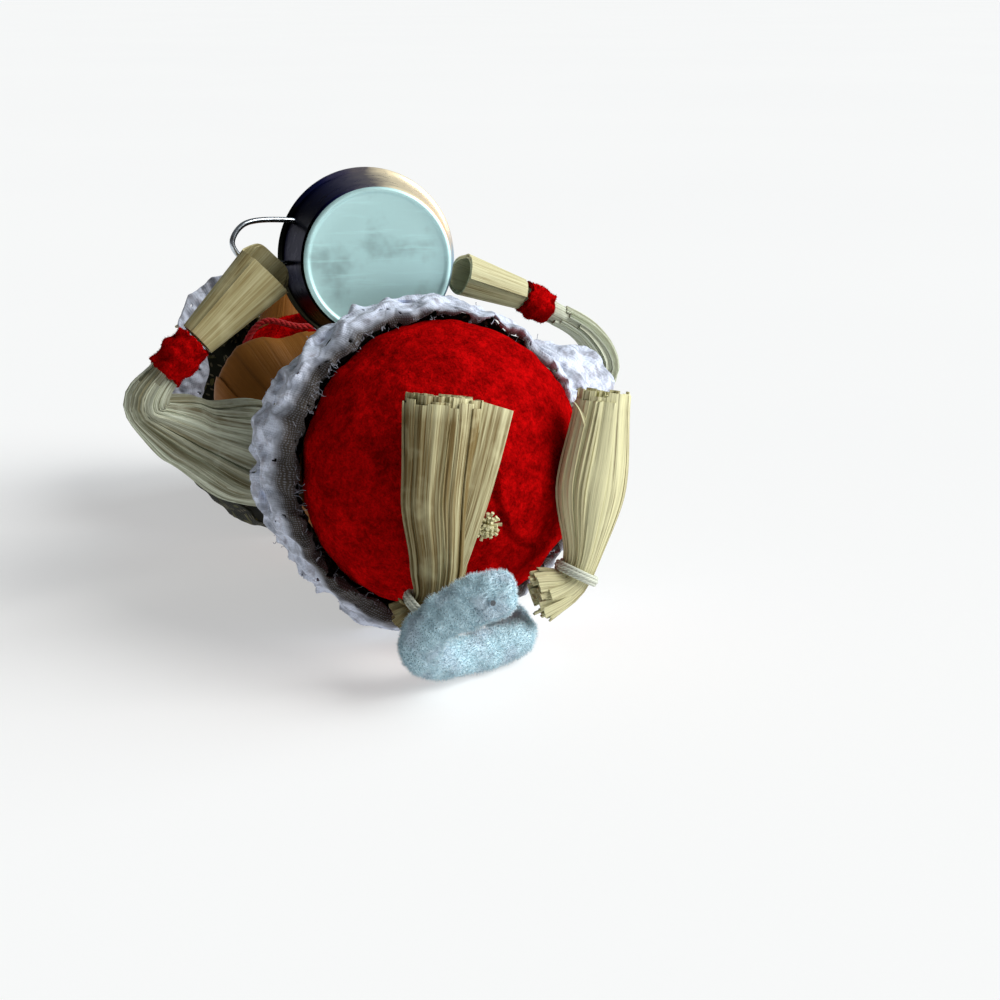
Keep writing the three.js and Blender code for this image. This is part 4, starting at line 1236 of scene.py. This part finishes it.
class MOUSE_OT_feet(MouseOperator, bpy.types.Operator):
    """Makes both husk feet, their ties and the straw end between them"""

    bl_idname = "mouse.feet"
    bl_label = "Feet"

    def execute(self, context):
        thick = millimetres(context.scene.mouse_sizes.husk)
        for number, (name, foot) in enumerate(FEET.items()):
            rng = np.random.default_rng(41 + number)
            skin = self.bundle(foot, rng, thick)
            if name == "right":
                self.loose_strip(skin, rng, thick)
            else:
                self.sliver(skin, thick)
            piece = skin.piece(f"{name}_husk_foot", "dry_husk")
            kept(piece, "husk", f"{name}_foot")
            self.tie(name, foot)
        self.straw(np.random.default_rng(47))
        return {"FINISHED"}

    def bundle(self, foot, rng, thick):
        """Layers of strips from the tuft behind the tie to the cut toes."""
        skin = Skin()
        path = Path(foot["spine"])
        rows = 28
        for share, count, columns, crinkle in FOOT_LAYERS:
            start = rng.uniform(*PHASES)
            for strip in range(count):
                angle = start + TAU * (strip + rng.uniform(-0.15, 0.15)) / count
                half = math.pi / count * rng.uniform(1.15, 1.5)
                span = (rng.uniform(0, 0.06), 1 - rng.uniform(0, 0.055) - 0.008 * (share == 1.0))
                points, uv = husk_strip(path, foot["wide"], foot["high"], angle, half, share * 0.97, span,
                                        rng, columns=columns, rows=rows, lift=0.035, ridge=0.1,
                                        crinkle=crinkle)
                tail = smoothstep(np.linspace(*span, rows), foot["tie"] * 0.8, 0.0)[:, None, None]
                points = points + tail * rng.normal(0, 0.55, 3)
                points = clear_of_dome(points, 0.3 + 0.12 * (1 - share))
                cut_end = smoothstep(np.linspace(0, 1, rows), 0.92, 1.0)[:, None]
                skin.leaf(points, thick, uv, tone=rng.uniform(*foot["tone"]) + 0.5 * cut_end)
        return skin

    def loose_strip(self, skin, rng, thick):
        """The one strip of the right foot that stands away from its bundle."""
        heel, toe = np.array(LOOSE_STRIP["heel"], float), np.array(LOOSE_STRIP["toe"], float)
        along = np.linspace(0, 1, 24)[:, None, None]
        across = np.linspace(-1, 1, 9)[None, :, None]
        way = unit(toe - heel)
        side = unit(np.cross((0, 0, -1.0), way))
        ridges = rng.normal(0, 0.05, 9)[None, :, None]
        points = heel + (toe - heel) * along + side * across * LOOSE_STRIP["width"] / 2 * (0.6 + 0.4 * along)
        arch = 0.35 * (1 - across ** 2) + ridges + LOOSE_STRIP["rise"] * np.sin(along * math.pi)
        points = points - UP * arch
        uv = together(across[..., 0] * 1.8, along[..., 0] * 33)
        skin.leaf(points, thick * 1.3, uv, tone=0.2 + 0.3 * smoothstep(along[..., 0], 0.92, 1.0))

    def sliver(self, skin, thick):
        """The thin curl that peels from the left foot's toes."""
        along = np.linspace(0, 1, 14)[:, None, None]
        across = np.linspace(-1, 1, 4)[None, :, None]
        root, run, bend, breadth = [np.array(SLIVER[key]) for key in ("root", "run", "bend", "breadth")]
        points = root + along * run + bend * along ** 3
        points = points + across * breadth * (1 - 0.75 * along)
        uv = together(across[..., 0] * 0.5, along[..., 0] * 7)
        skin.leaf(points, thick, uv, tone=0.9)

    def tie(self, name, foot):
        """String wound round the bundle just above its tuft."""
        path = Path(foot["spine"])
        middle, side, rise = path.frames(np.array([foot["tie"]]))
        way = np.cross(side, rise)[0]
        radius = float(eased(foot["wide"], np.array(foot["tie"]))) + 0.5
        share = np.linspace(0, 1, 300)[:, None]
        angle = share * TIE["turns"] * TAU + 0.6
        tucked = smoothstep(share, 0.05, 0.0) + smoothstep(share, 0.95, 1.0)
        crown = 0.4 * np.sin(share * math.pi) - 0.4 * tucked
        line = (middle + way * (share - 0.5) * TIE["height"]
                + (radius + crown) * (side * np.cos(angle) + rise * np.sin(angle)))
        line = clear_of_dome(line, 0.6)
        skin = Skin()
        skin.rope(line, TIE["string"], 8)
        piece = skin.piece(f"{name}_foot_string", "pale_string")
        kept(piece, "string", f"{name}_foot_tie")

    def straw(self, rng):
        """The cut end of a straw bundle, splayed into a small star."""
        spot = np.array((STAR["x"], STAR["y"], 0.0))
        across = (STAR["y"] - BODY["y"]) / BODY["radius"]
        spot[2] = BODY["rim"] - BODY["depth"] * math.sqrt(1 - across ** 2)
        out = unit(np.array((0, across / BODY["radius"], -math.sqrt(1 - across ** 2) / BODY["depth"])))
        side = np.array((1.0, 0, 0))
        rise = np.cross(out, side)
        skin = Skin()
        for layer, count in STAR_RINGS:
            for stalk in range(count):
                turn = TAU * (stalk + rng.uniform(-0.3, 0.3)) / count
                level = side * math.cos(turn) + rise * math.sin(turn)
                reach = STAR["radius"] * layer * rng.uniform(0.85, 1.08)
                tip = spot + level * reach + out * rng.uniform(0.5, 1.0) * (1.35 - 0.6 * layer)
                foot = spot + level * reach * 0.25 - out * 0.3
                line = foot + (tip - foot) * np.linspace(0, 1, 5)[:, None]
                skin.rope(line, np.linspace(0.16, 0.3, 5), 6, tone=rng.uniform(0.6, 1.3))
        piece = skin.piece("straw_star", "dry_husk")
        kept(piece, "husk", "straw_tuft")


class MOUSE_OT_tail(MouseOperator, bpy.types.Operator):
    """Makes the folded chenille tail and the tip of its wire"""

    bl_idname = "mouse.tail"
    bl_label = "Tail"

    def execute(self, context):
        pile = millimetres(context.scene.mouse_sizes.chenille_pile)
        path = Path(TAIL)
        share = np.linspace(0, 1, 120)
        line = path.point(share)
        core = TAIL_RADIUS - pile * 0.72 + 0.7 * smoothstep(share, 0.72, 0.92)
        fullness = core * np.sqrt(np.clip(1 - np.maximum(share - 0.96, 0) ** 2 / 0.041 ** 2, 0.004, 1))
        fullness = fullness * (1 + 0.03 * np.sin(share * 90) + 0.03 * np.sin(share * 37 + 1))
        skin = Skin()
        skin.rope(line, fullness, 40)
        points = np.concatenate(skin.points)
        points = points + unit(points - np.repeat(np.concatenate([line[:1], line, line[-1:]]), 40, 0)) * (
            0.22 * lumps(points, 3.0, 51))[:, None]
        skin.points = [clear_of_table(clear_of_dome(points, 0.6), 0.9)]
        piece = skin.piece("chenille_tail", "white_chenille", sharp=120)
        napped(piece, per_mm2=22.0, length=pile, radius=0.06, lean=0.6, seed=52)
        kept(piece, "chenille", "tail")
        wire = Skin()
        root, run = np.array(TAIL_WIRE["root"]), np.array(TAIL_WIRE["run"])
        wire.rope(root + np.linspace(0, 1, 6)[:, None] * run, TAIL_WIRE["radius"], 8)
        stub = wire.piece("tail_wire_tip", "bright_wire")
        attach(stub, "root")
        return {"FINISHED"}


class MOUSE_OT_arms(MouseOperator, bpy.types.Operator):
    """Makes both arms: leafed husk sleeves, felt cuffs and rolled husk hands"""

    bl_idname = "mouse.arms"
    bl_label = "Arms"

    def execute(self, context):
        sizes = context.scene.mouse_sizes
        for number, (name, arm) in enumerate(ARMS.items()):
            rng = np.random.default_rng(61 + number)
            self.sleeve(name, arm, rng, millimetres(sizes.husk))
            self.cuff(name, arm, millimetres(sizes.felt_nap))
            self.hand(name, arm, rng, millimetres(sizes.husk))
        return {"FINISHED"}

    def sleeve(self, name, arm, rng, thick):
        """A pleated lining tube and the wide leaves that overlap on it."""
        path = Path(arm["sleeve"])
        skin = Skin()
        rows, columns = 60, 120
        along = np.linspace(0.09, 0.985, rows)
        angle = full_turn(columns)
        point, side, rise = path.frames(along)
        loose = (1 - smoothstep(along, 0.6, 0.88))[:, None]
        fine = np.cos(29 * angle + 1.5 * np.sin(3 * angle))
        pleat = 0.93 + loose * (0.035 * np.cos(8 * angle) + 0.03 * fine)
        level = eased(arm["wide"], along)[:, None] * pleat
        upright = eased(arm["high"], along)[:, None] * pleat
        points = ringed(point[:, None], side, rise, level, upright, angle)
        points = np.concatenate([np.broadcast_to(point[:1, None], (1, columns, 3)), points,
                                 np.broadcast_to(point[-1:, None], (1, columns, 3))])
        points = clear_of_table(points, 0.3)
        run = np.concatenate([along[:1], along, along[-1:]]) * path.length
        uv = together(np.linspace(0, 45, columns + 1)[None, :], run[:, None])
        skin.grid(points, uv, around=True, tone=arm["sleeve_tone_and_shade"][0])
        strips = 11
        for strip in range(strips):
            angle_at = TAU * (strip + rng.uniform(-0.2, 0.2)) / strips
            half = math.pi / strips * rng.uniform(1.3, 1.8)
            span = (rng.uniform(0.1, 0.14), rng.uniform(0.8, 0.93))
            points, uv = husk_strip(path, arm["wide"], arm["high"], angle_at, half,
                                    rng.uniform(0.985, 1.02), span, rng, columns=17, rows=38, lift=0.05,
                                    ridge=0.17, sway=0.1)
            points = clear_of_table(points, 0.3)
            skin.leaf(points, thick, uv, tone=rng.uniform(*arm["sleeve_tone_and_shade"]))
        piece = skin.piece(f"{name}_husk_sleeve", "pleated_husk")
        kept(piece, "pale_husk", f"{name}_sleeve")

    def cuff(self, name, arm, nap):
        """A strip of felt wrapped once round the wrist, its end lapped."""
        start, end, radius = arm["cuff"]
        start, end = np.array(start, float), np.array(end, float)
        path = Path([start, (start + end) / 2, end])
        along = np.linspace(0, 1, 26)
        turn = np.linspace(0, 1, 84)
        point, side, rise = path.frames(along)
        angle = -2.2 + turn * TAU * 1.12
        wrap = radius - 0.85 + 0.45 * smoothstep(turn, 0.72, 0.95)
        crumple = 0.12 * np.sin(turn * 41)[None, :] * np.cos(along * 5)[:, None]
        spread = wrap[None, :] + crumple + 0.18 * np.cos((along - 0.5) * 9)[:, None]
        ragged = 0.03 * np.sin(turn * 60 + 1) + 0.02 * np.sin(turn * 23)
        place = point[:, None] + (end - start) * (ragged[None, :] * (along[:, None] - 0.5) * 2)[..., None]
        points = ringed(place, side, rise, spread, spread, angle)
        points = points + unit(points - place) * (0.16 * lumps(points, 2.4, 66))[..., None]
        uv = together(turn[None, :] * 26, along[:, None] * 7)
        skin = Skin()
        skin.leaf(points, CUFF_FELT, uv)
        piece = skin.piece(f"{name}_felt_cuff", "plush_felt")
        napped(piece, per_mm2=9.0, length=nap * 0.4, radius=0.05, lean=0.95, seed=67)
        kept(piece, "red_felt", f"{name}_cuff")

    def hand(self, name, arm, rng, thick):
        """A flattened roll of husk, open at its flared end."""
        start, end = np.array(arm["hand"][0], float), np.array(arm["hand"][1], float)
        path = Path([start, (start + end) / 2, end])
        turn = np.linspace(0, 1, 130)
        along = np.linspace(0, 1, 34)
        _, side, rise = path.frames(along)
        angle = arm["hand_edge"] + turn * TAU * 1.75
        back = arm["hand_back"] * smoothstep(np.sin(angle), 0.1, 0.9)
        ends = 1 - 0.018 * (1 + np.sin(turn * 11 + 2)) + back
        ridge = np.interp(turn, np.linspace(0, 1, 60), rng.normal(0, 0.05, 60))
        roll = 0.965 - 0.2 * turn + 0.1 * np.exp(-turn / 0.022)
        level = mixed(*arm["hand_wide"], along)[:, None] * roll[None, :] + ridge
        upright = mixed(*arm["hand_high"], along)[:, None] * roll[None, :] + ridge
        place = start + (end - start) * (along[:, None] * ends[None, :])[..., None]
        points = ringed(place, side, rise, level, upright, angle)
        uv = together(turn[None, :] * 45, along[:, None] * 17)
        skin = Skin()
        skin.leaf(points, thick * 1.4, uv, tone=arm["hand_tone_and_shade"])
        piece = skin.piece(f"{name}_husk_hand", "rolled_husk")
        kept(piece, "husk", f"{name}_hand")


class MOUSE_OT_cup(MouseOperator, bpy.types.Operator):
    """Makes the tin cup and its bent wire handle"""

    bl_idname = "mouse.cup"
    bl_label = "Tin Cup"

    def execute(self, context):
        foot, rim = np.array(CUP["foot"], float), np.array(CUP["rim"], float)
        height = np.linalg.norm(rim - foot)
        axis = (rim - foot) / height
        over = unit(np.array((0, -1.0, 0)) + axis * axis[1])
        right = np.cross(axis, over)
        wall = self.profile(height)
        angle = np.linspace(0, TAU, 129)
        skin = Skin()
        for outline, mark in wall:
            outline = np.array(outline)
            ring = over[None, :] * np.cos(angle[:-1])[:, None] + right[None, :] * np.sin(angle[:-1])[:, None]
            points = foot + outline[:, None, 1:] * axis + outline[:, None, :1] * ring[None]
            uv = together(angle[None, :] / TAU, outline[:, 1:] / height)
            skin.grid(points, uv, around=True, mark=mark)
        piece = skin.piece("little_tin_cup", "brushed_tin", "polished_tin", sharp=60)
        kept(piece, "tin", "tin_cup")
        wire = Skin()
        line = Path(HANDLE).point(np.linspace(0.02, 0.98, 90))
        wire.rope(line, HANDLE_WIRE, 16)
        handle = wire.piece("bent_wire_handle", "bright_wire")
        kept(handle, "tin", "cup_handle")
        return {"FINISHED"}

    def profile(self, height):
        """Outlines of the bottom, the wall with its rolled rim, and the inside, as (radius, height)."""
        low, high = CUP["foot_radius"], CUP["rim_radius"]

        def side(z):
            return mixed(low, high, z / height)

        bottom = [(0, 0.4), (3, 0.39), (6, 0.37), (9, 0.35), (low - 1.6, 0.33), (low - 1.3, 0.26),
                  (low - 1.1, 0.1), (low - 0.9, 0.03), (low - 0.7, 0.03), (low - 0.45, 0.14),
                  (low - 0.25, 0.4)]
        outer = [(low - 0.25, 0.4), (low - 0.05, 0.8), (side(1.2), 1.2)]
        outer += [(side(z), z) for z in np.linspace(1.8, height - 2.0, 14)]
        middle = height - CUP_BEAD
        bead = [(side(height) - 0.1 + 0.75 * math.sin(a), middle - 0.68 * math.cos(a))
                for a in np.linspace(0.25, math.pi + 0.4, 12)]
        outer += [(side(height - 1.5), height - 1.55)] + bead
        inner = [bead[-1]] + [(side(z) - CUP_WALL, z) for z in np.linspace(height - 1.4, 2.6, 10)]
        inner += [(low - CUP_WALL - 0.3, 1.75), (low - CUP_WALL - 1.0, 1.42), (low * 0.5, 1.4), (0, 1.4)]
        return [(bottom, 0), (outer, 1), (inner, 0)]


class MOUSE_OT_bodice(MouseOperator, bpy.types.Operator):
    """Makes the husk bodice from a core and overlapping leaves"""

    bl_idname = "mouse.bodice"
    bl_label = "Bodice"

    def execute(self, context):
        thick = millimetres(context.scene.mouse_sizes.husk)
        rng = np.random.default_rng(71)
        skin = Skin()
        z = np.concatenate([[BODICE_LOW], np.linspace(BODICE_LOW, BODICE_HIGH, 40), [BODICE_HIGH]])
        angle = np.linspace(0, TAU, 97)
        closed = np.concatenate([[0], np.ones(40), [0]])[:, None]
        radius = (bodice_radius(angle[None, :-1], z[:, None]) - 0.9) * closed
        uv = together(angle[None, :] * 16, z[:, None])
        skin.grid(self.placed(radius, angle[None, :-1], z[:, None]), uv, around=True, tone=0.4)
        leaves = 12
        for leaf in range(leaves):
            middle = TAU * (leaf + rng.uniform(-0.2, 0.2)) / leaves
            height = np.linspace(39.2, 65.2, 30)[:, None]
            across = np.linspace(-1, 1, 17)[None, :]
            half = math.pi / leaves * rng.uniform(1.3, 1.9)
            ridges = rng.normal(0, 0.09, 17)[None, :] + 0.12 * across ** 2 * rng.uniform(-1, 1.6)
            turned = middle + half * across
            spread = bodice_radius(turned, height) - 0.45 + ridges + 0.14 * across * rng.choice((-1, 1))
            points = self.placed(spread, turned, height)
            uv = together(across * half * 17 + leaf * 40, height)
            skin.leaf(points, thick, uv, tone=rng.uniform(0, 1))
        piece = skin.piece("leafed_bodice", "smooth_husk")
        kept(piece, "tan_husk", "bodice")
        return {"FINISHED"}

    def placed(self, radius, angle, z):
        return together(radius * np.cos(angle) + eased(BODICE_X, z),
                        radius * np.sin(angle) + eased(BODICE_Y, z), z + 0 * angle)


class MOUSE_OT_scarf(MouseOperator, bpy.types.Operator):
    """Makes the red felt scarf that spreads over the chest"""

    bl_idname = "mouse.scarf"
    bl_label = "Scarf"

    def execute(self, context):
        sizes = context.scene.mouse_sizes
        columns = 200
        angle = full_turn(columns)[None, :]
        share = np.linspace(0.02, 1, 26)[:, None]
        reach = mixed(SCARF["front"], SCARF["back"], smoothstep(np.sin(angle), -0.4, 0.6))
        reach = reach + 0.35 * np.sin(17 * angle) * np.sin(5 * angle) - 0.3
        radius = mixed(SCARF["inner"], reach, share)
        fall = (SCARF["high"] - SCARF["low"]) * (radius - SCARF["inner"]) / (SCARF["front"] - SCARF["inner"])
        wave = SCARF["ripple"] * share * np.sin(SCARF["waves"] * angle)
        points = together(radius * np.cos(angle), radius * np.sin(angle) - 2,
                          SCARF["high"] + 0.6 - fall + wave)
        points[..., 2] += 0.16 * lumps(points, 4, 81)
        uv = together(np.linspace(0, 120, columns + 1)[None, :], share * 12)
        skin = Skin()
        skin.grid(points, uv, around=True)
        piece = skin.piece("felt_scarf", "plush_felt")
        thickened(piece, SCARF_FELT)
        napped(piece, per_mm2=3.0, length=millimetres(sizes.felt_nap) * 0.7, radius=0.06, lean=0.95, seed=82)
        kept(piece, "red_felt", "neck_scarf")
        return {"FINISHED"}


def head_axes():
    """The head's way to its snout, and the two ways across it."""
    ahead = np.array((0, -math.cos(HEAD_NOD), -math.sin(HEAD_NOD)))
    side = np.array((1.0, 0, 0))
    return ahead, side, np.cross(ahead, side)


class MOUSE_OT_head(MouseOperator, bpy.types.Operator):
    """Makes the husk head, its ears and its beads"""

    bl_idname = "mouse.head"
    bl_label = "Head"

    def execute(self, context):
        thick = millimetres(context.scene.mouse_sizes.husk)
        rng = np.random.default_rng(91)
        ahead = head_axes()[0]
        skin = Skin()
        angle = np.linspace(0, TAU, 97)
        reach, radius = self.outline(44)
        points = self.placed(reach[:, None], (radius - np.minimum(radius, 0.5))[:, None], angle[None, :-1])
        uv = together(angle[None, :] * 14, reach[:, None])
        skin.grid(points, uv, around=True, tone=0.45)
        leaves = 13
        for leaf in range(leaves):
            middle = TAU * (leaf + rng.uniform(-0.2, 0.2)) / leaves
            half = math.pi / leaves * rng.uniform(1.25, 1.7)
            across = np.linspace(-1, 1, 13)[None, :]
            lift = rng.normal(0, 0.05, 13)[None, :] + 0.1 * across * rng.choice((-1, 1)) - 0.28
            show = slice(3, 42)
            spread = np.maximum(radius[show, None] + lift * smoothstep(radius[show, None], 0, 3), 0.05)
            points = self.placed(reach[show, None], spread, middle + half * across)
            uv = together(across * half * 14 + leaf * 40, reach[show, None])
            skin.leaf(points, thick, uv, tone=rng.uniform(0, 1))
        piece = skin.piece("leafed_head", "smooth_husk")
        kept(piece, "tan_husk", "head")
        for name, sign in (("right", -1), ("left", 1)):
            self.ear(name, sign, rng, thick)
            spot = HEAD_MIDDLE + np.array((sign * EYE["side"], -EYE["ahead"], EYE["above"]))
            way = unit(np.array((sign * 0.55, -0.6, 0.6)))
            self.bead(f"{name}_eye_bead", spot, way, EYE["radius"], f"{name}_eye")
        self.bead("nose_bead", HEAD_MIDDLE + ahead * SNOUT, ahead, NOSE_RADIUS, "nose")
        return {"FINISHED"}

    def outline(self, count):
        """Distances ahead of the head's middle and the radius at each, from the nape to the snout."""
        turn = np.linspace(0, math.pi / 2, 20)
        ahead = np.concatenate([-HEAD_RADIUS * np.cos(turn), [z for _, z in HEAD_OUTLINE]])
        radius = np.concatenate([HEAD_RADIUS * np.sin(turn), [r for r, _ in HEAD_OUTLINE]])
        run = np.concatenate([[0], np.cumsum(np.hypot(np.diff(ahead), np.diff(radius)))])
        even = np.linspace(0, run[-1], count)
        return np.interp(even, run, ahead), np.interp(even, run, radius)

    def placed(self, reach, radius, angle):
        ahead, side, rise = head_axes()
        level = radius * np.cos(angle)
        upright = radius * np.sin(angle)
        return (HEAD_MIDDLE + (reach + 0 * angle)[..., None] * ahead + level[..., None] * side
                + upright[..., None] * rise)

    def ear(self, name, sign, rng, thick):
        """A cupped husk leaf with a rolled edge."""
        facing = unit(np.array((sign * 0.3, -1.0, 0.15)))
        side = unit(np.cross(facing, UP))
        rise = np.cross(side, facing)
        place = np.array((sign * EAR["side"], EAR["ahead"], EAR["height"]))
        share = np.linspace(0.0, 1, 22)[:, None]
        angle = full_turn(72)[None, :]
        ripple = 1 + 0.03 * np.sin(5 * angle) + 0.012 * np.sin(31 * angle) * share
        radius = (EAR["radius"] - 0.2) * share * ripple
        depth = EAR["cup"] * share ** 2 + 0.45 - 0.5 * smoothstep(share, 0.88, 1.0)
        level = radius * np.cos(angle)
        upright = radius * np.sin(angle)
        fibre = np.interp(level, np.linspace(-8, 8, 50), rng.normal(0, 0.05, 50)) * smoothstep(share, 0, 0.2)
        points = (place + level[..., None] * side + upright[..., None] * rise
                  + (depth + fibre)[..., None] * facing)
        corner = np.concatenate([level, level[:, :1]], 1), np.concatenate([upright, upright[:, :1]], 1)
        skin = Skin()
        skin.grid(points[:, ::-1], np.stack(corner, -1)[:, ::-1], around=True, tone=0.6)
        piece = skin.piece(f"{name}_husk_ear", "dry_husk")
        thickened(piece, thick * 2)
        kept(piece, "husk", f"{name}_ear")

    def bead(self, name, middle, way, radius, node):
        """A round bead, dimpled where its thread goes in."""
        side = unit(np.cross(way, (0.2, 0.3, 0.9)))
        rise = np.cross(way, side)
        turn = np.linspace(0, math.pi, 30)
        spread = radius * 0.98 * np.sin(turn)
        height = radius * 0.98 * np.cos(turn)
        height = height - 0.22 * radius * np.exp(-(spread / (0.2 * radius)) ** 2) * np.sign(height)
        angle = np.linspace(0, TAU, 41)
        points = (middle + height[:, None, None] * way + spread[:, None, None] * (
            side * np.cos(angle[:-1])[None, :, None] + rise * np.sin(angle[:-1])[None, :, None]))
        uv = together(angle[None, :] * radius, height[:, None])
        skin = Skin()
        skin.grid(points[::-1], uv[::-1], around=True)
        piece = skin.piece(name, "black_bead")
        kept(piece, "bead", node)


class MOUSE_OT_bonnet(MouseOperator, bpy.types.Operator):
    """Makes the calico bonnet and its lace brim"""

    bl_idname = "mouse.bonnet"
    bl_label = "Bonnet"

    def execute(self, context):
        sizes = context.scene.mouse_sizes
        self.crown(millimetres(sizes.calico))
        self.brim(millimetres(sizes.lace))
        return {"FINISHED"}

    def crown(self, thick):
        """The gathered crown, deeper at the nape than in front."""
        columns = 240
        run = np.linspace(0, 1, 44)
        knots = np.linspace(0, 1, len(CROWN))
        radius = np.interp(run, knots, [r for r, _ in CROWN])
        drop = np.interp(run, knots, [d for _, d in CROWN])
        soft = np.array((0.1, 0.2, 0.4, 0.2, 0.1))
        radius = np.convolve(np.pad(radius, 2, mode="edge"), soft, "valid")
        drop = np.convolve(np.pad(drop, 2, mode="edge"), soft, "valid")
        radius[0], drop[0] = 0.0, 0.0
        angle = full_turn(columns)[None, :]
        edge = mixed(BONNET["front"], BONNET["back"], (1 + np.sin(angle)) / 2)
        full = smoothstep(radius, 0.5, 9)[:, None]
        gathers = 0.22 * np.sin(37 * angle + 2 * np.sin(4 * angle))
        fold = full * (0.25 * np.sin(BONNET["folds"] * angle) + gathers)
        spread = radius[:, None] + fold - 0.45 * full
        z = BONNET["top"] - drop[:, None] * (BONNET["top"] - edge)
        points = np.stack([spread * np.cos(angle), spread * np.sin(angle) + BONNET["y"], z], -1)
        points = points + 0.2 * (lumps(points, 7, 101) * full)[..., None] * np.array((1, 1, 0))
        points = clear_of_table(points, 0.3)
        uv = together(np.linspace(0, 148, columns + 1)[None, :], run[:, None] * 52)
        skin = Skin()
        skin.grid(points[::-1], uv[::-1], around=True)
        piece = skin.piece("calico_bonnet", "dark_calico")
        thickened(piece, thick)
        kept(piece, "calico", "bonnet")

    def brim(self, thick):
        """The frill that stands out round the face."""
        columns, rows = 400, 20
        angle = np.linspace(BRIM["from"], BRIM["to"], columns)[None, :]
        share = np.linspace(0, 1, rows)[:, None]
        outer = eased(BRIM_REACH, angle) - 0.7 * np.abs(np.sin(16 * angle))
        tucked = smoothstep(angle, BRIM_TUCK["start"], BRIM_TUCK["end"])
        radius = mixed(BRIM["inner"] - BRIM_TUCK["inward"] * tucked, outer, share)
        height = mixed(BRIM["front"], BRIM["back"], (1 + np.sin(angle)) / 2) - BRIM_TUCK["lower"] * tucked
        wave = BRIM["ripple"] * share * np.sin(24 * angle)
        points = together(radius * np.cos(angle), radius * np.sin(angle) + BONNET["y"],
                          height + wave)
        points[..., 2] += 0.22 * lumps(points, 2.4, 112)
        points = clear_of_table(points, 0.2)
        u = np.linspace(0, 108, columns)[None, :]
        uv = together(u, share * 8.0)
        keep = lace_keep(uv[:-1, :-1, 0] + 0.11, uv[:-1, :-1, 1] + 0.12)
        skin = Skin()
        # A tone of 0.52 gives the whole brim about half of the lace's brown painted shade, partly dirt.
        skin.grid(points, uv, tone=0.52, keep=keep)
        piece = skin.piece("bonnet_lace_brim", "white_lace")
        thickened(piece, thick)
        kept(piece, "lace", "bonnet_lace")


class MOUSE_PT_pieces(bpy.types.Panel):
    """Lists the mouse's pieces and their sizes and colours"""

    bl_idname = "MOUSE_PT_pieces"
    bl_label = "Corn Husk Mouse"
    bl_space_type = "VIEW_3D"
    bl_region_type = "UI"
    bl_category = "Mouse"

    def draw(self, context):
        column = self.layout.column(align=True)
        for operator in OPERATORS:
            column.operator(operator.bl_idname)
        for group in (context.scene.mouse_sizes, context.scene.mouse_colours):
            box = self.layout.box()
            for name in group.bl_rna.properties.keys():
                if name not in {"rna_type", "name"}:
                    box.prop(group, name)


OPERATORS = (
    MOUSE_OT_stage, MOUSE_OT_neck_cord, MOUSE_OT_felt_body, MOUSE_OT_skirt, MOUSE_OT_hem_lace,
    MOUSE_OT_feet, MOUSE_OT_tail, MOUSE_OT_arms, MOUSE_OT_cup, MOUSE_OT_bodice, MOUSE_OT_scarf,
    MOUSE_OT_head, MOUSE_OT_bonnet,
)
CLASSES = (MouseSizes, MouseColours, *OPERATORS, MOUSE_PT_pieces)


def register():
    for made in CLASSES:
        bpy.utils.register_class(made)
    bpy.types.Scene.mouse_sizes = PointerProperty(type=MouseSizes)
    bpy.types.Scene.mouse_colours = PointerProperty(type=MouseColours)


def unregister():
    del bpy.types.Scene.mouse_colours
    del bpy.types.Scene.mouse_sizes
    for made in reversed(CLASSES):
        bpy.utils.unregister_class(made)


def main():
    """Makes the stage and every piece."""
    register()
    for operator in OPERATORS:
        getattr(bpy.ops.mouse, operator.bl_idname.split(".")[1])()


if __name__ == "__main__":
    main()
